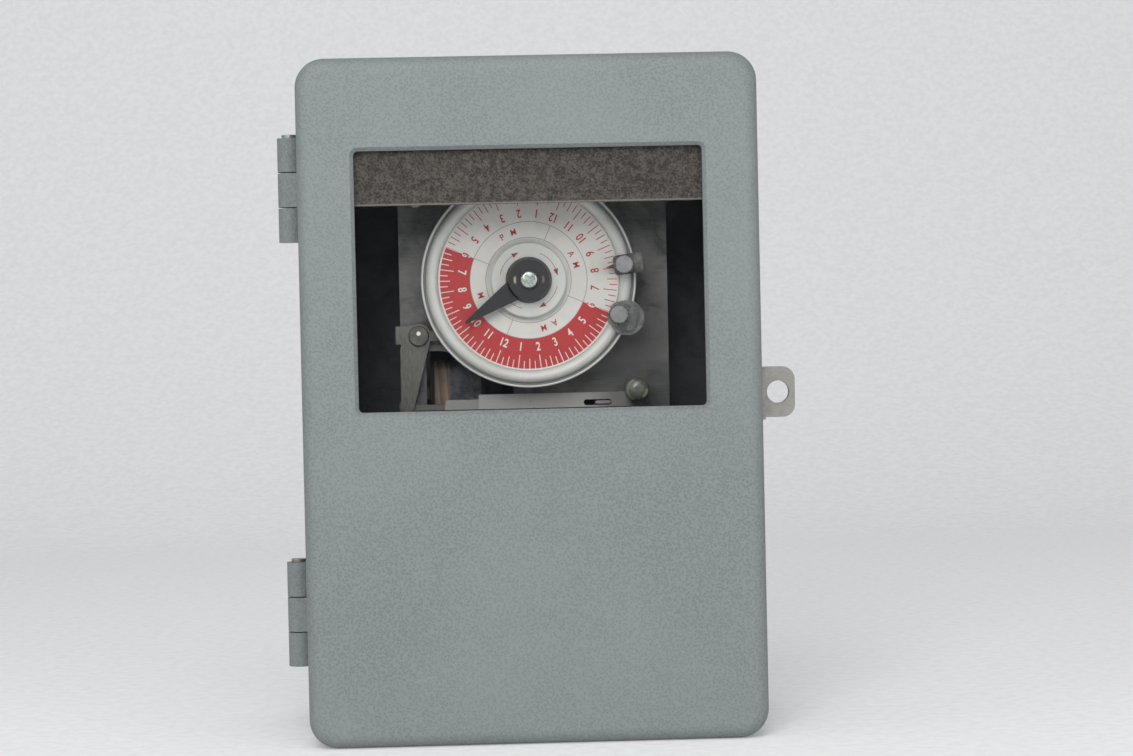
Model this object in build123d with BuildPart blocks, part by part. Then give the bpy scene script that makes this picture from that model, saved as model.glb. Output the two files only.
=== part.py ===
from build123d import *
from math import acos, cos, pi, radians, sin, tan
import os

os.makedirs("parts", exist_ok=True)

# Enclosure: the back of the case is on the wall plane, and the front faces -Y.
case_height = 236
case_depth = 60
door_depth = 38
shell_wall = 3
corner_radius = 10
back_edge_radius = 2
door_edge_radius = 5
tongue_wall = 1.2
tongue_height = 2.5
tongue_clearance = 0.4
door_gasket_thickness = 1.5

# Wall screws, conduit entry and knockouts
wall_hole_spacing_x = 124
wall_hole_spacing_z = 200
wall_hole_radius = 2.6
wall_pad_radius = 7
wall_pad_height = 1
conduit_radius = 11.1
conduit_rim_width = 4.5
conduit_rim_height = 1.5
conduit_level = 30
knockout_spacing = 45
knockout_groove = 1
knockout_skin = 1.4
side_knockout_height = 78

# Hinges at the left
hinge_spacing = 150
knuckle_radius = 4.2
knuckle_length = 12
knuckle_gap = 0.4
hinge_side_gap = 0.4
hinge_pin_radius = 1.6
hinge_pin_clearance = 0.08
hinge_pin_fit = 0.02
hinge_pin_head = 1.2

# Padlock hasp at the right
hasp_width = 18
hasp_thickness = 2
hasp_leg = 24
hasp_reach = 15
hasp_hole_radius = 4
hasp_rivet_radius = 1.5
hasp_rivet_spacing = 11
hasp_rivet_head = 1

# Window, measured from the centre of the dial
window_width = 119
window_side_margin = 19.5
window_above_dial = 44.5
window_below_dial = 44.6
window_corner = 1.5
window_bevel = 1.2
pane_overlap = 7
pane_thickness = 3
window_gasket_thickness = 0.8
retainer_thickness = 1.5
retainer_lip = 5
retainer_boss_radius = 3
retainer_boss_gap = 0.5
retainer_screw_radius = 1.2
retainer_screw_grip = 2.4

# Mechanism frame
dial_height = 41.5
plate_level = 50.5
plate_thickness = 1.5
plate_width = 96
plate_shift = 2
plate_end_margin = 17
plate_corner = 4
post_radius = 4.5
post_inset = 7
plate_screw_radius = 2
plate_screw_grip = 10
plate_head_radius = 4
plate_head_height = 2.4
plate_gap = 13
pillar_left = -39.4
pillar_right = 27
pillar_drop = 19
pillar_rise = 29.5
pillar_radius = 3
frame_screw_radius = 1.5
frame_screw_grip = 5
frame_head_radius = 2.8
frame_head_height = 1.6
gear_plate_margin = 4.5
thread_clearance = 0.05
screw_hole_clearance = 0.2

# Drive
gear_module = 0.9
pressure_angle = 25
tooth_addendum = 0.9
tooth_dedendum = 1.2
tooth_backlash = 0.12
dial_teeth = 60
wheel_teeth = 27
pinion_teeth = 15
wheel_direction = 152
motor_direction = -60
gear_thickness = 3
wheel_lift = 2
gear_step = 2
pinion_overrun = 1.2
running_clearance = 0.05
arbor_end_gap = 0.3
wheel_arbor_radius = 1.5
motor_shaft_radius = 2
shaft_hole_clearance = 1
post_shaft_radius = 2.5
sleeve_wall = 2
bush_wall = 1.5
bush_collar = 1.5
can_radius = 18
can_depth = 10
can_edge_radius = 1.5
can_centre_x = -26
can_drop = 7.5
shaft_bearing_depth = 6
motor_screw_offset = 14.8
motor_screw_direction = -70
motor_head_height = 1.3
stator_width = 32
stator_height = 46
stator_depth = 6
stator_low_bar = 9
stator_leg = 6
stator_below_can = 35
coil_length = 17
coil_overhang = 5
bobbin_flange = 1.2
bobbin_rim = 0.8
coil_corner = 4
coil_window_width = 31
coil_window_height = 21.5
coil_window_shift = 4.5
coil_window_web = 3.6

# Dial
dial_radius = 38
dial_gap = 10.5
dial_web = 2
dial_bead_width = 0.9
dial_bead_height = 4
dial_groove_width = 0.7
dial_groove_depth = 0.6
dial_band_width = 4.2
dial_band_rise = 2.5
face_thickness = 0.4
face_gap = 0.3
face_inner_radius = 14.7
cap_radius = 13.4
cap_height = 3.1
cap_edge_radius = 0.8
pointer_gap = 0.5
pointer_hub_radius = 8.15
pointer_hub_height = 5
pointer_hub_taper = 12
pointer_arm_thickness = 1.8
pointer_reach = 27
pointer_root_reach = 6
pointer_root_radius = 3.8
pointer_shoulder_reach = 17.5
pointer_shoulder_radius = 2
pointer_tip_radius = 0.5
pointer_angle = 213
pointer_screw_radius = 1.5
pointer_screw_head_radius = 3.1
pointer_screw_head_height = 2.2
pointer_screw_grip = 6
pointer_seat_depth = 3.6

# Trippers on the rim of the dial
off_tripper_angle = 8
on_tripper_angle = -22.3
tripper_jaw_reach = 30.4
tripper_outer_reach = 40.6
off_tripper_width = 7
off_tripper_corner = 1.5
on_tripper_width = 9
on_tripper_corner = 3
tripper_lower_jaw = 2
tripper_upper_jaw = 3.4
tripper_gap = 0.1
tripper_screw_reach = 33.7
tripper_screw_radius = 1.25
tripper_knob_radius = 3.3
tripper_knob_height = 4.4
tripper_finger_reach = 27.4
tripper_finger_width = 2
tripper_finger_thickness = 0.7
tripper_lug_length = 1.5
tripper_lug_width = 3
on_tripper_boss_radius = 6.2
on_tripper_boss_reach = 37

# Slide bar and levers
bar_height = -2.45
bar_rise = 3.55
bar_drop = 1.65
bar_low_rise = 1.85
bar_neck_rise = 0.35
bar_step_x = -18.5
bar_neck_x = -30.3
bar_eye_radius = 3.1
bar_corner = 0.3
bar_thickness = 2.5
bar_gap = 0.3
peg_radius = 1
peg_clearance = 0.3
peg_length = 9.3
lever_thickness = 1.5
lever_gap = 0.3
lever_pin_radius = 1.5
lever_pin_clearance = 0.15
lever_pin_room = 0.4
pivot_radius = 3
pivot_head_radius = 3.6
pivot_head_height = 1.2
pivot_end_play = 0.3
lever_eye_radius = 5.2
lever_arm_radius = 2.6
guide_key_length = 5.5
guide_key_width = 1.1
guide_slot_gap = 0.5
guide_slot_margin = 0.3
manual_pivot_inset = 9.4
manual_pivot_z = -13
manual_half_swing = 10.5
manual_knob_arm = 15.2
manual_knob_radius = 4.2
manual_knob_height = 10.4
manual_knob_round = 3
trip_pin_offset = 4.4
trip_eye_radius = 4.4
trip_arm_end_radius = 2.3
trip_shoulder_drop = 5
trip_tab_reach = 8.2
trip_tab_width = 6.4
trip_tab_lift = 0.4
trip_pawl_offset = 4.4
trip_pawl_width = 2.4
trip_pawl_length = 3.6
trip_pawl_rise = 1.9

# Snap spring
spring_wire_radius = 0.4
spring_pitch = 1.3
spring_turns = 16
spring_coil_start = 4.5
spring_bend = 0.9
spring_hook_arm = 5.6
spring_anchor_drop = 33
spring_anchor_radius = 2.2
spring_pin_radius = 1.1
spring_pin_overrun = 0.9
spring_eye_clearance = 0.35
spring_lift = 0.4

# Switch block, blades and terminals
block_top = -8
block_height = 38
block_back_depth = 16.5
step_width = 58
step_depth = 7.5
step_margin = 2
step_clearance = 0.5
pole_spacing = 28
pole_centre = 2
chamber_width = 14
chamber_floor = 6
chamber_bottom_wall = 3
strip_width = 8
strip_clearance = 1
strip_slot_clearance = 0.1
fixed_strip_thickness = 1.2
blade_thickness = 0.8
button_radius = 3
button_thickness = 1.5
contact_gap = 0.05
contact_height = -12
blade_pivot_height = -37
blade_roll_radius = 1.2
blade_roll_gap = 0.2
blade_pin_radius = 0.6
blade_pin_seat = 2
blade_overlap = 1.9
pad_width = 10.6
pad_height = 10
pad_thickness = 1.2
barrier_thickness = 1.2
barrier_height = 6
barrier_top_margin = 2
terminal_screw_radius = 1.9
terminal_head_radius = 3.7
terminal_head_height = 2.4
terminal_screw_grip = 5
clamp_size = 8.6
clamp_thickness = 1.2
block_screw_gap = 0.8
block_ear = 3.4
block_screw_grip = 8

# Earth strap on the back wall
strap_length = 96
strap_width = 12
strap_thickness = 1.5
strap_floor_gap = 14
strap_boss_radius = 4.5
strap_boss_height = 5
strap_screw_spacing = 80
earth_screw_spacing = 26
earth_screw_radius = 2
earth_screw_grip = 4
earth_head_radius = 4
earth_head_height = 2.4

# Levels counted from the wall
door_front = case_depth + door_depth
door_inside = door_front - shell_wall
pane_front = door_inside - window_gasket_thickness
pane_rear = pane_front - pane_thickness
retainer_rear = pane_rear - retainer_thickness
plate_front = plate_level + plate_thickness
gear_plate_front = plate_level - plate_gap
gear_plate_rear = gear_plate_front - plate_thickness
wheel_rear = gear_plate_front + wheel_lift
wheel_front = wheel_rear + gear_thickness
dial_gear_rear = wheel_front + gear_step
dial_rear = plate_front + dial_gap
dial_seat = dial_rear + dial_web
cap_front = dial_seat + cap_height
pointer_rear = cap_front + pointer_gap
pointer_front = pointer_rear + pointer_hub_height
band_top = dial_seat + dial_band_rise
bar_rear = plate_front + bar_gap
bar_front = bar_rear + bar_thickness
lever_rear = bar_front + lever_gap
lever_front = lever_rear + lever_thickness
step_front = plate_level + step_depth
block_rear = plate_level - block_back_depth
pivot_front = lever_front + pivot_end_play + pivot_head_height
spring_level = pivot_front + spring_lift + spring_wire_radius + spring_bend
chamber_rear = block_rear + chamber_floor
strip_rear = chamber_rear + strip_clearance
strip_middle = strip_rear + strip_width / 2
chamber_depth = strip_width + 2 * strip_clearance
clamp_front = step_front + pad_thickness + clamp_thickness
strap_rear = shell_wall + strap_boss_height
strap_front = strap_rear + strap_thickness

# Outlines that several pieces share
case_width = window_width + 2 * window_side_margin
pillar_low = dial_height - pillar_drop
pillar_high = dial_height + pillar_rise
plate_height = 2 * (pillar_high + plate_end_margin)
can_centre_z = dial_height - can_drop
strap_height = case_height / 2 - strap_floor_gap
inner_width = case_width - 2 * shell_wall
inner_height = case_height - 2 * shell_wall
inner_radius = corner_radius - shell_wall
tongue_inset = shell_wall - tongue_wall
rebate_inset = tongue_inset - tongue_clearance
window_height = window_above_dial + window_below_dial
window_centre = dial_height + (window_above_dial - window_below_dial) / 2
pane_width = window_width + 2 * pane_overlap
pane_height = window_height + 2 * pane_overlap
retainer_border = retainer_boss_gap + 2 * retainer_boss_radius + retainer_boss_gap
plate_left = plate_shift - plate_width / 2
plate_right = plate_shift + plate_width / 2
manual_pivot_x = plate_right - manual_pivot_inset
hinge_x = -case_width / 2 - knuckle_radius - hinge_side_gap
hinge_heights = (-hinge_spacing / 2, hinge_spacing / 2)
hasp_hole_x = case_width / 2 + hasp_reach - hasp_width / 3
sleeve_bore = post_shaft_radius + running_clearance
sleeve_radius = sleeve_bore + sleeve_wall

# Places in the plane of the mechanism plate, as (X, Z)
dial_spot = (0, dial_height)
post_spots = [
    (x, z)
    for x in (plate_left + post_inset, plate_right - post_inset)
    for z in (post_inset - plate_height / 2, plate_height / 2 - post_inset)
]
trip_pivot = (pillar_left, pillar_low)
plain_pillars = [(pillar_left, pillar_high), (pillar_right, pillar_low), (pillar_right, pillar_high)]
strap_spots = [(-strap_screw_spacing / 2, -strap_height), (strap_screw_spacing / 2, -strap_height)]
earth_spots = [(-earth_screw_spacing / 2, -strap_height), (earth_screw_spacing / 2, -strap_height)]
wall_spots = [
    (x, z)
    for x in (-wall_hole_spacing_x / 2, wall_hole_spacing_x / 2)
    for z in (-wall_hole_spacing_z / 2, wall_hole_spacing_z / 2)
]
boss_side = pane_width / 2 + retainer_boss_gap + retainer_boss_radius
boss_above = pane_height / 2 + retainer_boss_gap + retainer_boss_radius
boss_spots = [
    (side * boss_side, window_centre + end * window_height / 3)
    for side in (-1, 1)
    for end in (-1, 1)
] + [(0, window_centre - boss_above), (0, window_centre + boss_above)]


def level(height):
    """Plane that faces the front, this far out from the wall."""
    return Plane.XZ.offset(height)


def polar(centre, distance, angle):
    """Point at a distance and an angle from another, seen from the front."""
    x = centre[0] + distance * cos(radians(angle))
    z = centre[1] + distance * sin(radians(angle))
    return (x, z)


def dial_plane(height, angle):
    """Plane that faces the front on the dial's axis, with its x axis along a radius."""
    along = (cos(radians(angle)), 0, sin(radians(angle)))
    return Plane(origin=(0, -height, dial_height), x_dir=along, z_dir=(0, -1, 0))


def gear_outline(teeth):
    """Involute gear outline round the origin, with one tooth on the x axis."""
    pitch_radius = gear_module * teeth / 2
    base_radius = pitch_radius * cos(radians(pressure_angle))
    tip_radius = pitch_radius + tooth_addendum * gear_module
    root_radius = pitch_radius - tooth_dedendum * gear_module
    start_radius = max(base_radius, root_radius)
    half_tooth = (pi * gear_module / 2 - tooth_backlash) / (2 * pitch_radius)
    pitch_involute = tan(radians(pressure_angle)) - radians(pressure_angle)
    flank = [(root_radius, 0.0)]
    for step in range(4):
        radius = start_radius + (tip_radius - start_radius) * step / 3
        slant = acos(min(1.0, base_radius / radius))
        flank.append((radius, pitch_involute - (tan(slant) - slant)))
    flank[0] = (root_radius, flank[1][1])
    points = []
    for tooth in range(teeth):
        middle = 2 * pi * tooth / teeth
        rising = [(radius, middle - half_tooth - turn) for radius, turn in flank]
        falling = [(radius, middle + half_tooth + turn) for radius, turn in reversed(flank)]
        points += [(radius * cos(turn), radius * sin(turn)) for radius, turn in rising + falling]
    return points


centre_distance_dial = gear_module * (dial_teeth + pinion_teeth) / 2
centre_distance_motor = gear_module * (wheel_teeth + pinion_teeth) / 2
wheel_spot = polar(dial_spot, centre_distance_dial, wheel_direction)
motor_spot = polar(wheel_spot, centre_distance_motor, motor_direction)
can_spot = (can_centre_x, can_centre_z)
half_pinion_tooth = 180 / pinion_teeth
dial_axis = Axis((0, 0, dial_height), (0, -1, 0))
dial_profile = Plane(origin=(0, 0, dial_height), x_dir=(1, 0, 0), z_dir=(0, 0, -1))

# Case, with posts for the mechanism, pads for the wall screws and its conduit places

with BuildPart() as base_case:
    with BuildSketch(level(0)):
        RectangleRounded(case_width, case_height, corner_radius)
    extrude(amount=case_depth)
    fillet(base_case.faces().sort_by(Axis.Y)[-1].edges(), back_edge_radius)
    with BuildSketch(level(shell_wall)):
        RectangleRounded(inner_width, inner_height, inner_radius)
    extrude(amount=case_depth - shell_wall, mode=Mode.SUBTRACT)
    with BuildSketch(level(case_depth)):
        RectangleRounded(
            case_width - 2 * tongue_inset, case_height - 2 * tongue_inset, corner_radius - tongue_inset
        )
        RectangleRounded(inner_width, inner_height, inner_radius, mode=Mode.SUBTRACT)
    extrude(amount=tongue_height)
    with BuildSketch(level(shell_wall)):
        with Locations(*post_spots):
            Circle(post_radius)
    extrude(amount=plate_level - shell_wall)
    with BuildSketch(level(plate_level)):
        with Locations(*post_spots):
            Circle(plate_screw_radius + thread_clearance)
    extrude(amount=-plate_screw_grip - 2, mode=Mode.SUBTRACT)
    with BuildSketch(level(shell_wall)):
        with Locations(*wall_spots):
            Circle(wall_pad_radius)
    extrude(amount=wall_pad_height)
    with BuildSketch(level(0)):
        with Locations(*wall_spots):
            Circle(wall_hole_radius)
    extrude(amount=shell_wall + wall_pad_height, mode=Mode.SUBTRACT)
    with BuildSketch(level(shell_wall)):
        with Locations(*strap_spots):
            Circle(strap_boss_radius)
    extrude(amount=strap_boss_height)
    with BuildSketch(level(shell_wall)):
        with Locations(*strap_spots):
            Circle(earth_screw_radius + thread_clearance)
    extrude(amount=strap_boss_height, mode=Mode.SUBTRACT)
    with BuildSketch(Plane.XY.offset(shell_wall - case_height / 2)):
        with Locations((0, -conduit_level)):
            Circle(conduit_radius + conduit_rim_width)
    extrude(amount=conduit_rim_height)
    with BuildSketch(Plane.XY.offset(-case_height / 2)):
        with Locations((0, -conduit_level)):
            Circle(conduit_radius)
    extrude(amount=shell_wall + conduit_rim_height, mode=Mode.SUBTRACT)
    with BuildSketch(Plane.XY.offset(-case_height / 2)):
        with Locations((-knockout_spacing, -conduit_level), (knockout_spacing, -conduit_level)):
            Circle(conduit_radius)
            Circle(conduit_radius - knockout_groove, mode=Mode.SUBTRACT)
    extrude(amount=shell_wall - knockout_skin, mode=Mode.SUBTRACT)
    for side in (-1, 1):
        side_face = Plane(
            origin=(side * case_width / 2, -conduit_level, -side_knockout_height), z_dir=(side, 0, 0)
        )
        with BuildSketch(side_face):
            Circle(conduit_radius)
            Circle(conduit_radius - knockout_groove, mode=Mode.SUBTRACT)
        extrude(amount=knockout_skin - shell_wall, mode=Mode.SUBTRACT)
    for hinge_height in hinge_heights:
        for end in (-1, 1):
            knuckle_height = hinge_height + end * (knuckle_length + knuckle_gap)
            with Locations((hinge_x, -case_depth, knuckle_height)):
                Cylinder(knuckle_radius, knuckle_length)
            with BuildSketch(Plane.XY.offset(knuckle_height - knuckle_length / 2)):
                with Locations((hinge_x, -case_depth)):
                    Rectangle(
                        knuckle_radius + hinge_side_gap + tongue_inset,
                        knuckle_radius,
                        align=(Align.MIN, Align.MIN),
                    )
            extrude(amount=knuckle_length)
        with Locations((hinge_x, -case_depth, hinge_height)):
            Cylinder(hinge_pin_radius + hinge_pin_fit, 4 * knuckle_length, mode=Mode.SUBTRACT)
    for rivet in range(2):
        rivet_level = case_depth - hasp_leg + hasp_rivet_spacing / 2 + hasp_rivet_spacing * rivet
        with Locations((case_width / 2 - shell_wall / 2, -rivet_level, 0)):
            Cylinder(hasp_rivet_radius, 2 * shell_wall, rotation=(0, 90, 0), mode=Mode.SUBTRACT)

base_case.part.label = "base_case"
export_step(base_case.part, "parts/base_case.step")

# Door, a tray with the window opening, its knuckles and the bosses that hold the window

with BuildPart() as door_frame:
    with BuildSketch(level(case_depth)):
        RectangleRounded(case_width, case_height, corner_radius)
    extrude(amount=door_depth)
    fillet(door_frame.faces().sort_by(Axis.Y)[0].edges(), door_edge_radius)
    with BuildSketch(level(case_depth)):
        RectangleRounded(inner_width, inner_height, inner_radius)
    extrude(amount=door_depth - shell_wall, mode=Mode.SUBTRACT)
    with BuildSketch(level(case_depth)):
        RectangleRounded(
            case_width - 2 * rebate_inset, case_height - 2 * rebate_inset, corner_radius - rebate_inset
        )
    extrude(amount=tongue_height + door_gasket_thickness, mode=Mode.SUBTRACT)
    with BuildSketch(level(door_inside)):
        with Locations((0, window_centre)):
            RectangleRounded(window_width, window_height, window_corner)
    extrude(amount=shell_wall, mode=Mode.SUBTRACT)
    chamfer(door_frame.faces().sort_by(Axis.Y)[0].inner_wires()[0].edges(), window_bevel)
    with BuildSketch(level(pane_rear)):
        with Locations(*boss_spots):
            Circle(retainer_boss_radius)
    extrude(amount=door_inside - pane_rear)
    with BuildSketch(level(pane_rear)):
        with Locations(*boss_spots):
            Circle(retainer_screw_radius + thread_clearance)
    extrude(amount=door_inside - pane_rear, mode=Mode.SUBTRACT)
    for hinge_height in hinge_heights:
        with Locations((hinge_x, -case_depth, hinge_height)):
            Cylinder(knuckle_radius, knuckle_length)
        with BuildSketch(Plane.XY.offset(hinge_height - knuckle_length / 2)):
            with Locations((hinge_x, -case_depth)):
                Rectangle(
                    knuckle_radius + hinge_side_gap + rebate_inset, knuckle_radius, align=(Align.MIN, Align.MAX)
                )
        extrude(amount=knuckle_length)
        with Locations((hinge_x, -case_depth, hinge_height)):
            Cylinder(hinge_pin_radius + hinge_pin_clearance, 2 * knuckle_length, mode=Mode.SUBTRACT)
    for rivet in range(2):
        rivet_level = case_depth + hasp_leg - hasp_rivet_spacing / 2 - hasp_rivet_spacing * rivet
        with Locations((case_width / 2 - shell_wall / 2, -rivet_level, 0)):
            Cylinder(hasp_rivet_radius, 2 * shell_wall, rotation=(0, 90, 0), mode=Mode.SUBTRACT)

door_frame.part.label = "door_frame"
export_step(door_frame.part, "parts/door_frame.step")

# Gasket in the bottom of the door's rebate, where the case's tongue meets it

with BuildPart() as door_gasket:
    with BuildSketch(level(case_depth + tongue_height)):
        RectangleRounded(
            case_width - 2 * rebate_inset, case_height - 2 * rebate_inset, corner_radius - rebate_inset
        )
        RectangleRounded(inner_width, inner_height, inner_radius, mode=Mode.SUBTRACT)
    extrude(amount=door_gasket_thickness)

door_gasket.part.label = "door_gasket"
export_step(door_gasket.part, "parts/door_gasket.step")

# Hinge pins, each through three knuckles, with a head on top

with BuildPart() as hinge_pins:
    for hinge_height in hinge_heights:
        hinge_top = hinge_height + 3 * knuckle_length / 2 + knuckle_gap
        with BuildSketch(Plane.XY.offset(hinge_top)):
            with Locations((hinge_x, -case_depth)):
                Circle(hinge_pin_radius)
        extrude(amount=-3 * knuckle_length - 2 * knuckle_gap)
        with BuildSketch(Plane.XY.offset(hinge_top)):
            with Locations((hinge_x, -case_depth)):
                Circle(1.6 * hinge_pin_radius)
        extrude(amount=hinge_pin_head)

hinge_pins.part.label = "hinge_pins"
export_step(hinge_pins.part, "parts/hinge_pins.step")

# Two angled hasp ears that meet where the door meets the case, with one padlock hole through both

with BuildPart() as case_hasp:
    with BuildSketch(Plane.XY.offset(-hasp_width / 2)):
        with Locations((case_width / 2, -case_depth)):
            Rectangle(hasp_thickness, hasp_leg, align=(Align.MIN, Align.MIN))
            Rectangle(hasp_reach, hasp_thickness, align=(Align.MIN, Align.MIN))
    extrude(amount=hasp_width)
    fillet(case_hasp.faces().sort_by(Axis.X)[-1].edges().filter_by(Axis.Y), hasp_width / 4)
    with BuildSketch(level(case_depth)):
        with Locations((hasp_hole_x, 0)):
            Circle(hasp_hole_radius)
    extrude(amount=-hasp_thickness, mode=Mode.SUBTRACT)
    for rivet in range(2):
        rivet_level = case_depth - hasp_leg + hasp_rivet_spacing / 2 + hasp_rivet_spacing * rivet
        with Locations((case_width / 2, -rivet_level, 0)):
            Cylinder(hasp_rivet_radius, 4 * hasp_thickness, rotation=(0, 90, 0), mode=Mode.SUBTRACT)

case_hasp.part.label = "case_hasp"
export_step(case_hasp.part, "parts/case_hasp.step")

with BuildPart() as door_hasp:
    with BuildSketch(Plane.XY.offset(-hasp_width / 2)):
        with Locations((case_width / 2, -case_depth)):
            Rectangle(hasp_thickness, hasp_leg, align=(Align.MIN, Align.MAX))
            Rectangle(hasp_reach, hasp_thickness, align=(Align.MIN, Align.MAX))
    extrude(amount=hasp_width)
    fillet(door_hasp.faces().sort_by(Axis.X)[-1].edges().filter_by(Axis.Y), hasp_width / 4)
    with BuildSketch(level(case_depth)):
        with Locations((hasp_hole_x, 0)):
            Circle(hasp_hole_radius)
    extrude(amount=hasp_thickness, mode=Mode.SUBTRACT)
    for rivet in range(2):
        rivet_level = case_depth + hasp_leg - hasp_rivet_spacing / 2 - hasp_rivet_spacing * rivet
        with Locations((case_width / 2, -rivet_level, 0)):
            Cylinder(hasp_rivet_radius, 4 * hasp_thickness, rotation=(0, 90, 0), mode=Mode.SUBTRACT)

door_hasp.part.label = "door_hasp"
export_step(door_hasp.part, "parts/door_hasp.step")

# Rivets of the two ears, with a head on each side of the wall and ear


def hasp_rivets(levels):
    """Rivets along X through the side wall at these levels."""
    inside = case_width / 2 - shell_wall
    outside = case_width / 2 + hasp_thickness
    with BuildPart() as rivets:
        for rivet_level in levels:
            for start, length, radius in (
                (inside, outside - inside, hasp_rivet_radius),
                (inside, -hasp_rivet_head, 1.8 * hasp_rivet_radius),
                (outside, hasp_rivet_head, 1.8 * hasp_rivet_radius),
            ):
                with BuildSketch(Plane(origin=(start, -rivet_level, 0), z_dir=(1, 0, 0))):
                    Circle(radius)
                extrude(amount=length)
    return rivets


first_rivet = hasp_leg - hasp_rivet_spacing / 2
second_rivet = first_rivet - hasp_rivet_spacing
case_hasp_rivets = hasp_rivets((case_depth - first_rivet, case_depth - second_rivet))
case_hasp_rivets.part.label = "case_hasp_rivets"
export_step(case_hasp_rivets.part, "parts/case_hasp_rivets.step")

door_hasp_rivets = hasp_rivets((case_depth + first_rivet, case_depth + second_rivet))
door_hasp_rivets.part.label = "door_hasp_rivets"
export_step(door_hasp_rivets.part, "parts/door_hasp_rivets.step")

# Window: gasket, clear pane and the frame that holds both against the door

with BuildPart() as window_gasket:
    with BuildSketch(level(pane_front)):
        with Locations((0, window_centre)):
            RectangleRounded(pane_width, pane_height, window_corner)
            RectangleRounded(window_width, window_height, window_corner, mode=Mode.SUBTRACT)
    extrude(amount=window_gasket_thickness)

window_gasket.part.label = "window_gasket"
export_step(window_gasket.part, "parts/window_gasket.step")

with BuildPart() as window_pane:
    with BuildSketch(level(pane_rear)):
        with Locations((0, window_centre)):
            RectangleRounded(pane_width, pane_height, window_corner)
    extrude(amount=pane_thickness)

window_pane.part.label = "window_pane"
export_step(window_pane.part, "parts/window_pane.step")

with BuildPart() as window_retainer:
    with BuildSketch(level(retainer_rear)):
        with Locations((0, window_centre)):
            RectangleRounded(
                pane_width + 2 * retainer_border, pane_height + 2 * retainer_border, window_corner
            )
            RectangleRounded(
                pane_width - 2 * retainer_lip, pane_height - 2 * retainer_lip, window_corner, mode=Mode.SUBTRACT
            )
        with Locations(*boss_spots):
            Circle(retainer_screw_radius + screw_hole_clearance, mode=Mode.SUBTRACT)
    extrude(amount=retainer_thickness)

window_retainer.part.label = "window_retainer"
export_step(window_retainer.part, "parts/window_retainer.step")


def pan_screws(spots, seat, radius, grip, head_radius, head_height, outward=1):
    """Screws with flat round heads: the heads stand on the seat level, the shanks go the other way."""
    with BuildPart() as screws:
        with BuildSketch(level(seat)):
            with Locations(*spots):
                Circle(radius)
        extrude(amount=-outward * grip)
        with BuildSketch(level(seat)):
            with Locations(*spots):
                Circle(head_radius)
        extrude(amount=outward * head_height)
        head_faces = screws.faces().filter_by(Axis.Y).group_by(Axis.Y)[0 if outward > 0 else -1]
        fillet(head_faces.edges(), head_height / 3)
    return screws


retainer_screws = pan_screws(
    boss_spots,
    retainer_rear,
    retainer_screw_radius,
    retainer_thickness + retainer_screw_grip,
    2.6,
    1.5,
    outward=-1,
)
retainer_screws.part.label = "retainer_screws"
export_step(retainer_screws.part, "parts/retainer_screws.step")

# Levers: half swings, arms and places of their pins, all tied to the travel of the bar

manual_pivot = (manual_pivot_x, manual_pivot_z)
manual_drop = bar_height - manual_pivot_z
bar_travel = 2 * manual_drop * tan(radians(manual_half_swing))
manual_pin_arm = manual_drop / cos(radians(manual_half_swing))
manual_rest_angle = 90 + manual_half_swing
manual_pin = polar(manual_pivot, manual_pin_arm, manual_rest_angle)
manual_knob_spot = polar(manual_pivot, manual_knob_arm, manual_rest_angle)
spring_hook = polar(manual_pivot, spring_hook_arm, manual_rest_angle)
trip_pin = (pillar_left - trip_pin_offset, bar_height)
trip_shoulder = (trip_pin[0], pillar_low - trip_shoulder_drop)
pin_slot_width = 2 * (lever_pin_radius + lever_pin_clearance)
blade_places = (pole_centre - pole_spacing / 2, pole_centre + pole_spacing / 2)
peg_offset = blade_thickness / 2 + peg_clearance + peg_radius
peg_spots = [(place + side * peg_offset, bar_height) for place in blade_places for side in (-1, 1)]
guide_slot_start = blade_places[1] + peg_offset + peg_radius + guide_slot_margin
guide_slot_length = guide_key_length + bar_travel + 2 * peg_clearance
guide_slot_spot = (guide_slot_start + guide_slot_length / 2, bar_height)
guide_key_spot = (guide_slot_spot[0] + bar_travel / 2, bar_height)
spring_anchor = (manual_pivot_x, manual_pivot_z - spring_anchor_drop)
step_height = block_height - 2 * step_margin
block_centre = block_top - block_height / 2
block_screw_x = step_width / 2 + block_screw_gap + frame_head_radius
block_width = 2 * (block_screw_x + block_ear)
block_screw_spots = [(-block_screw_x, block_centre), (block_screw_x, block_centre)]

# Mechanism plate

coil_window_middle = block_top + coil_window_web + coil_window_height / 2

with BuildPart() as mechanism_plate:
    with BuildSketch(level(plate_level)):
        with Locations((plate_shift, 0)):
            RectangleRounded(plate_width, plate_height, plate_corner)
        with Locations((can_centre_x + coil_window_shift, coil_window_middle)):
            RectangleRounded(coil_window_width, coil_window_height, 2, mode=Mode.SUBTRACT)
        with Locations((0, block_centre)):
            RectangleRounded(
                step_width + 2 * step_clearance, step_height + 2 * step_clearance, 1, mode=Mode.SUBTRACT
            )
        with Locations(dial_spot):
            Circle(sleeve_radius + running_clearance + bush_wall, mode=Mode.SUBTRACT)
        with Locations(wheel_spot):
            Circle(wheel_arbor_radius + running_clearance, mode=Mode.SUBTRACT)
        with Locations(trip_pivot, *plain_pillars, manual_pivot):
            Circle(frame_screw_radius, mode=Mode.SUBTRACT)
        with Locations(guide_key_spot):
            SlotOverall(guide_key_length, guide_key_width, mode=Mode.SUBTRACT)
        with Locations(*post_spots):
            Circle(plate_screw_radius + screw_hole_clearance, mode=Mode.SUBTRACT)
        with Locations(*block_screw_spots):
            Circle(frame_screw_radius + screw_hole_clearance, mode=Mode.SUBTRACT)
        with Locations(spring_anchor):
            Circle(spring_pin_radius, mode=Mode.SUBTRACT)
        with Locations(*[(place + bar_travel / 2, bar_height) for place in blade_places]):
            SlotOverall(
                2 * (peg_offset + peg_radius) + bar_travel + 1, 2 * peg_radius + 1, mode=Mode.SUBTRACT
            )
    extrude(amount=plate_thickness)

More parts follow.
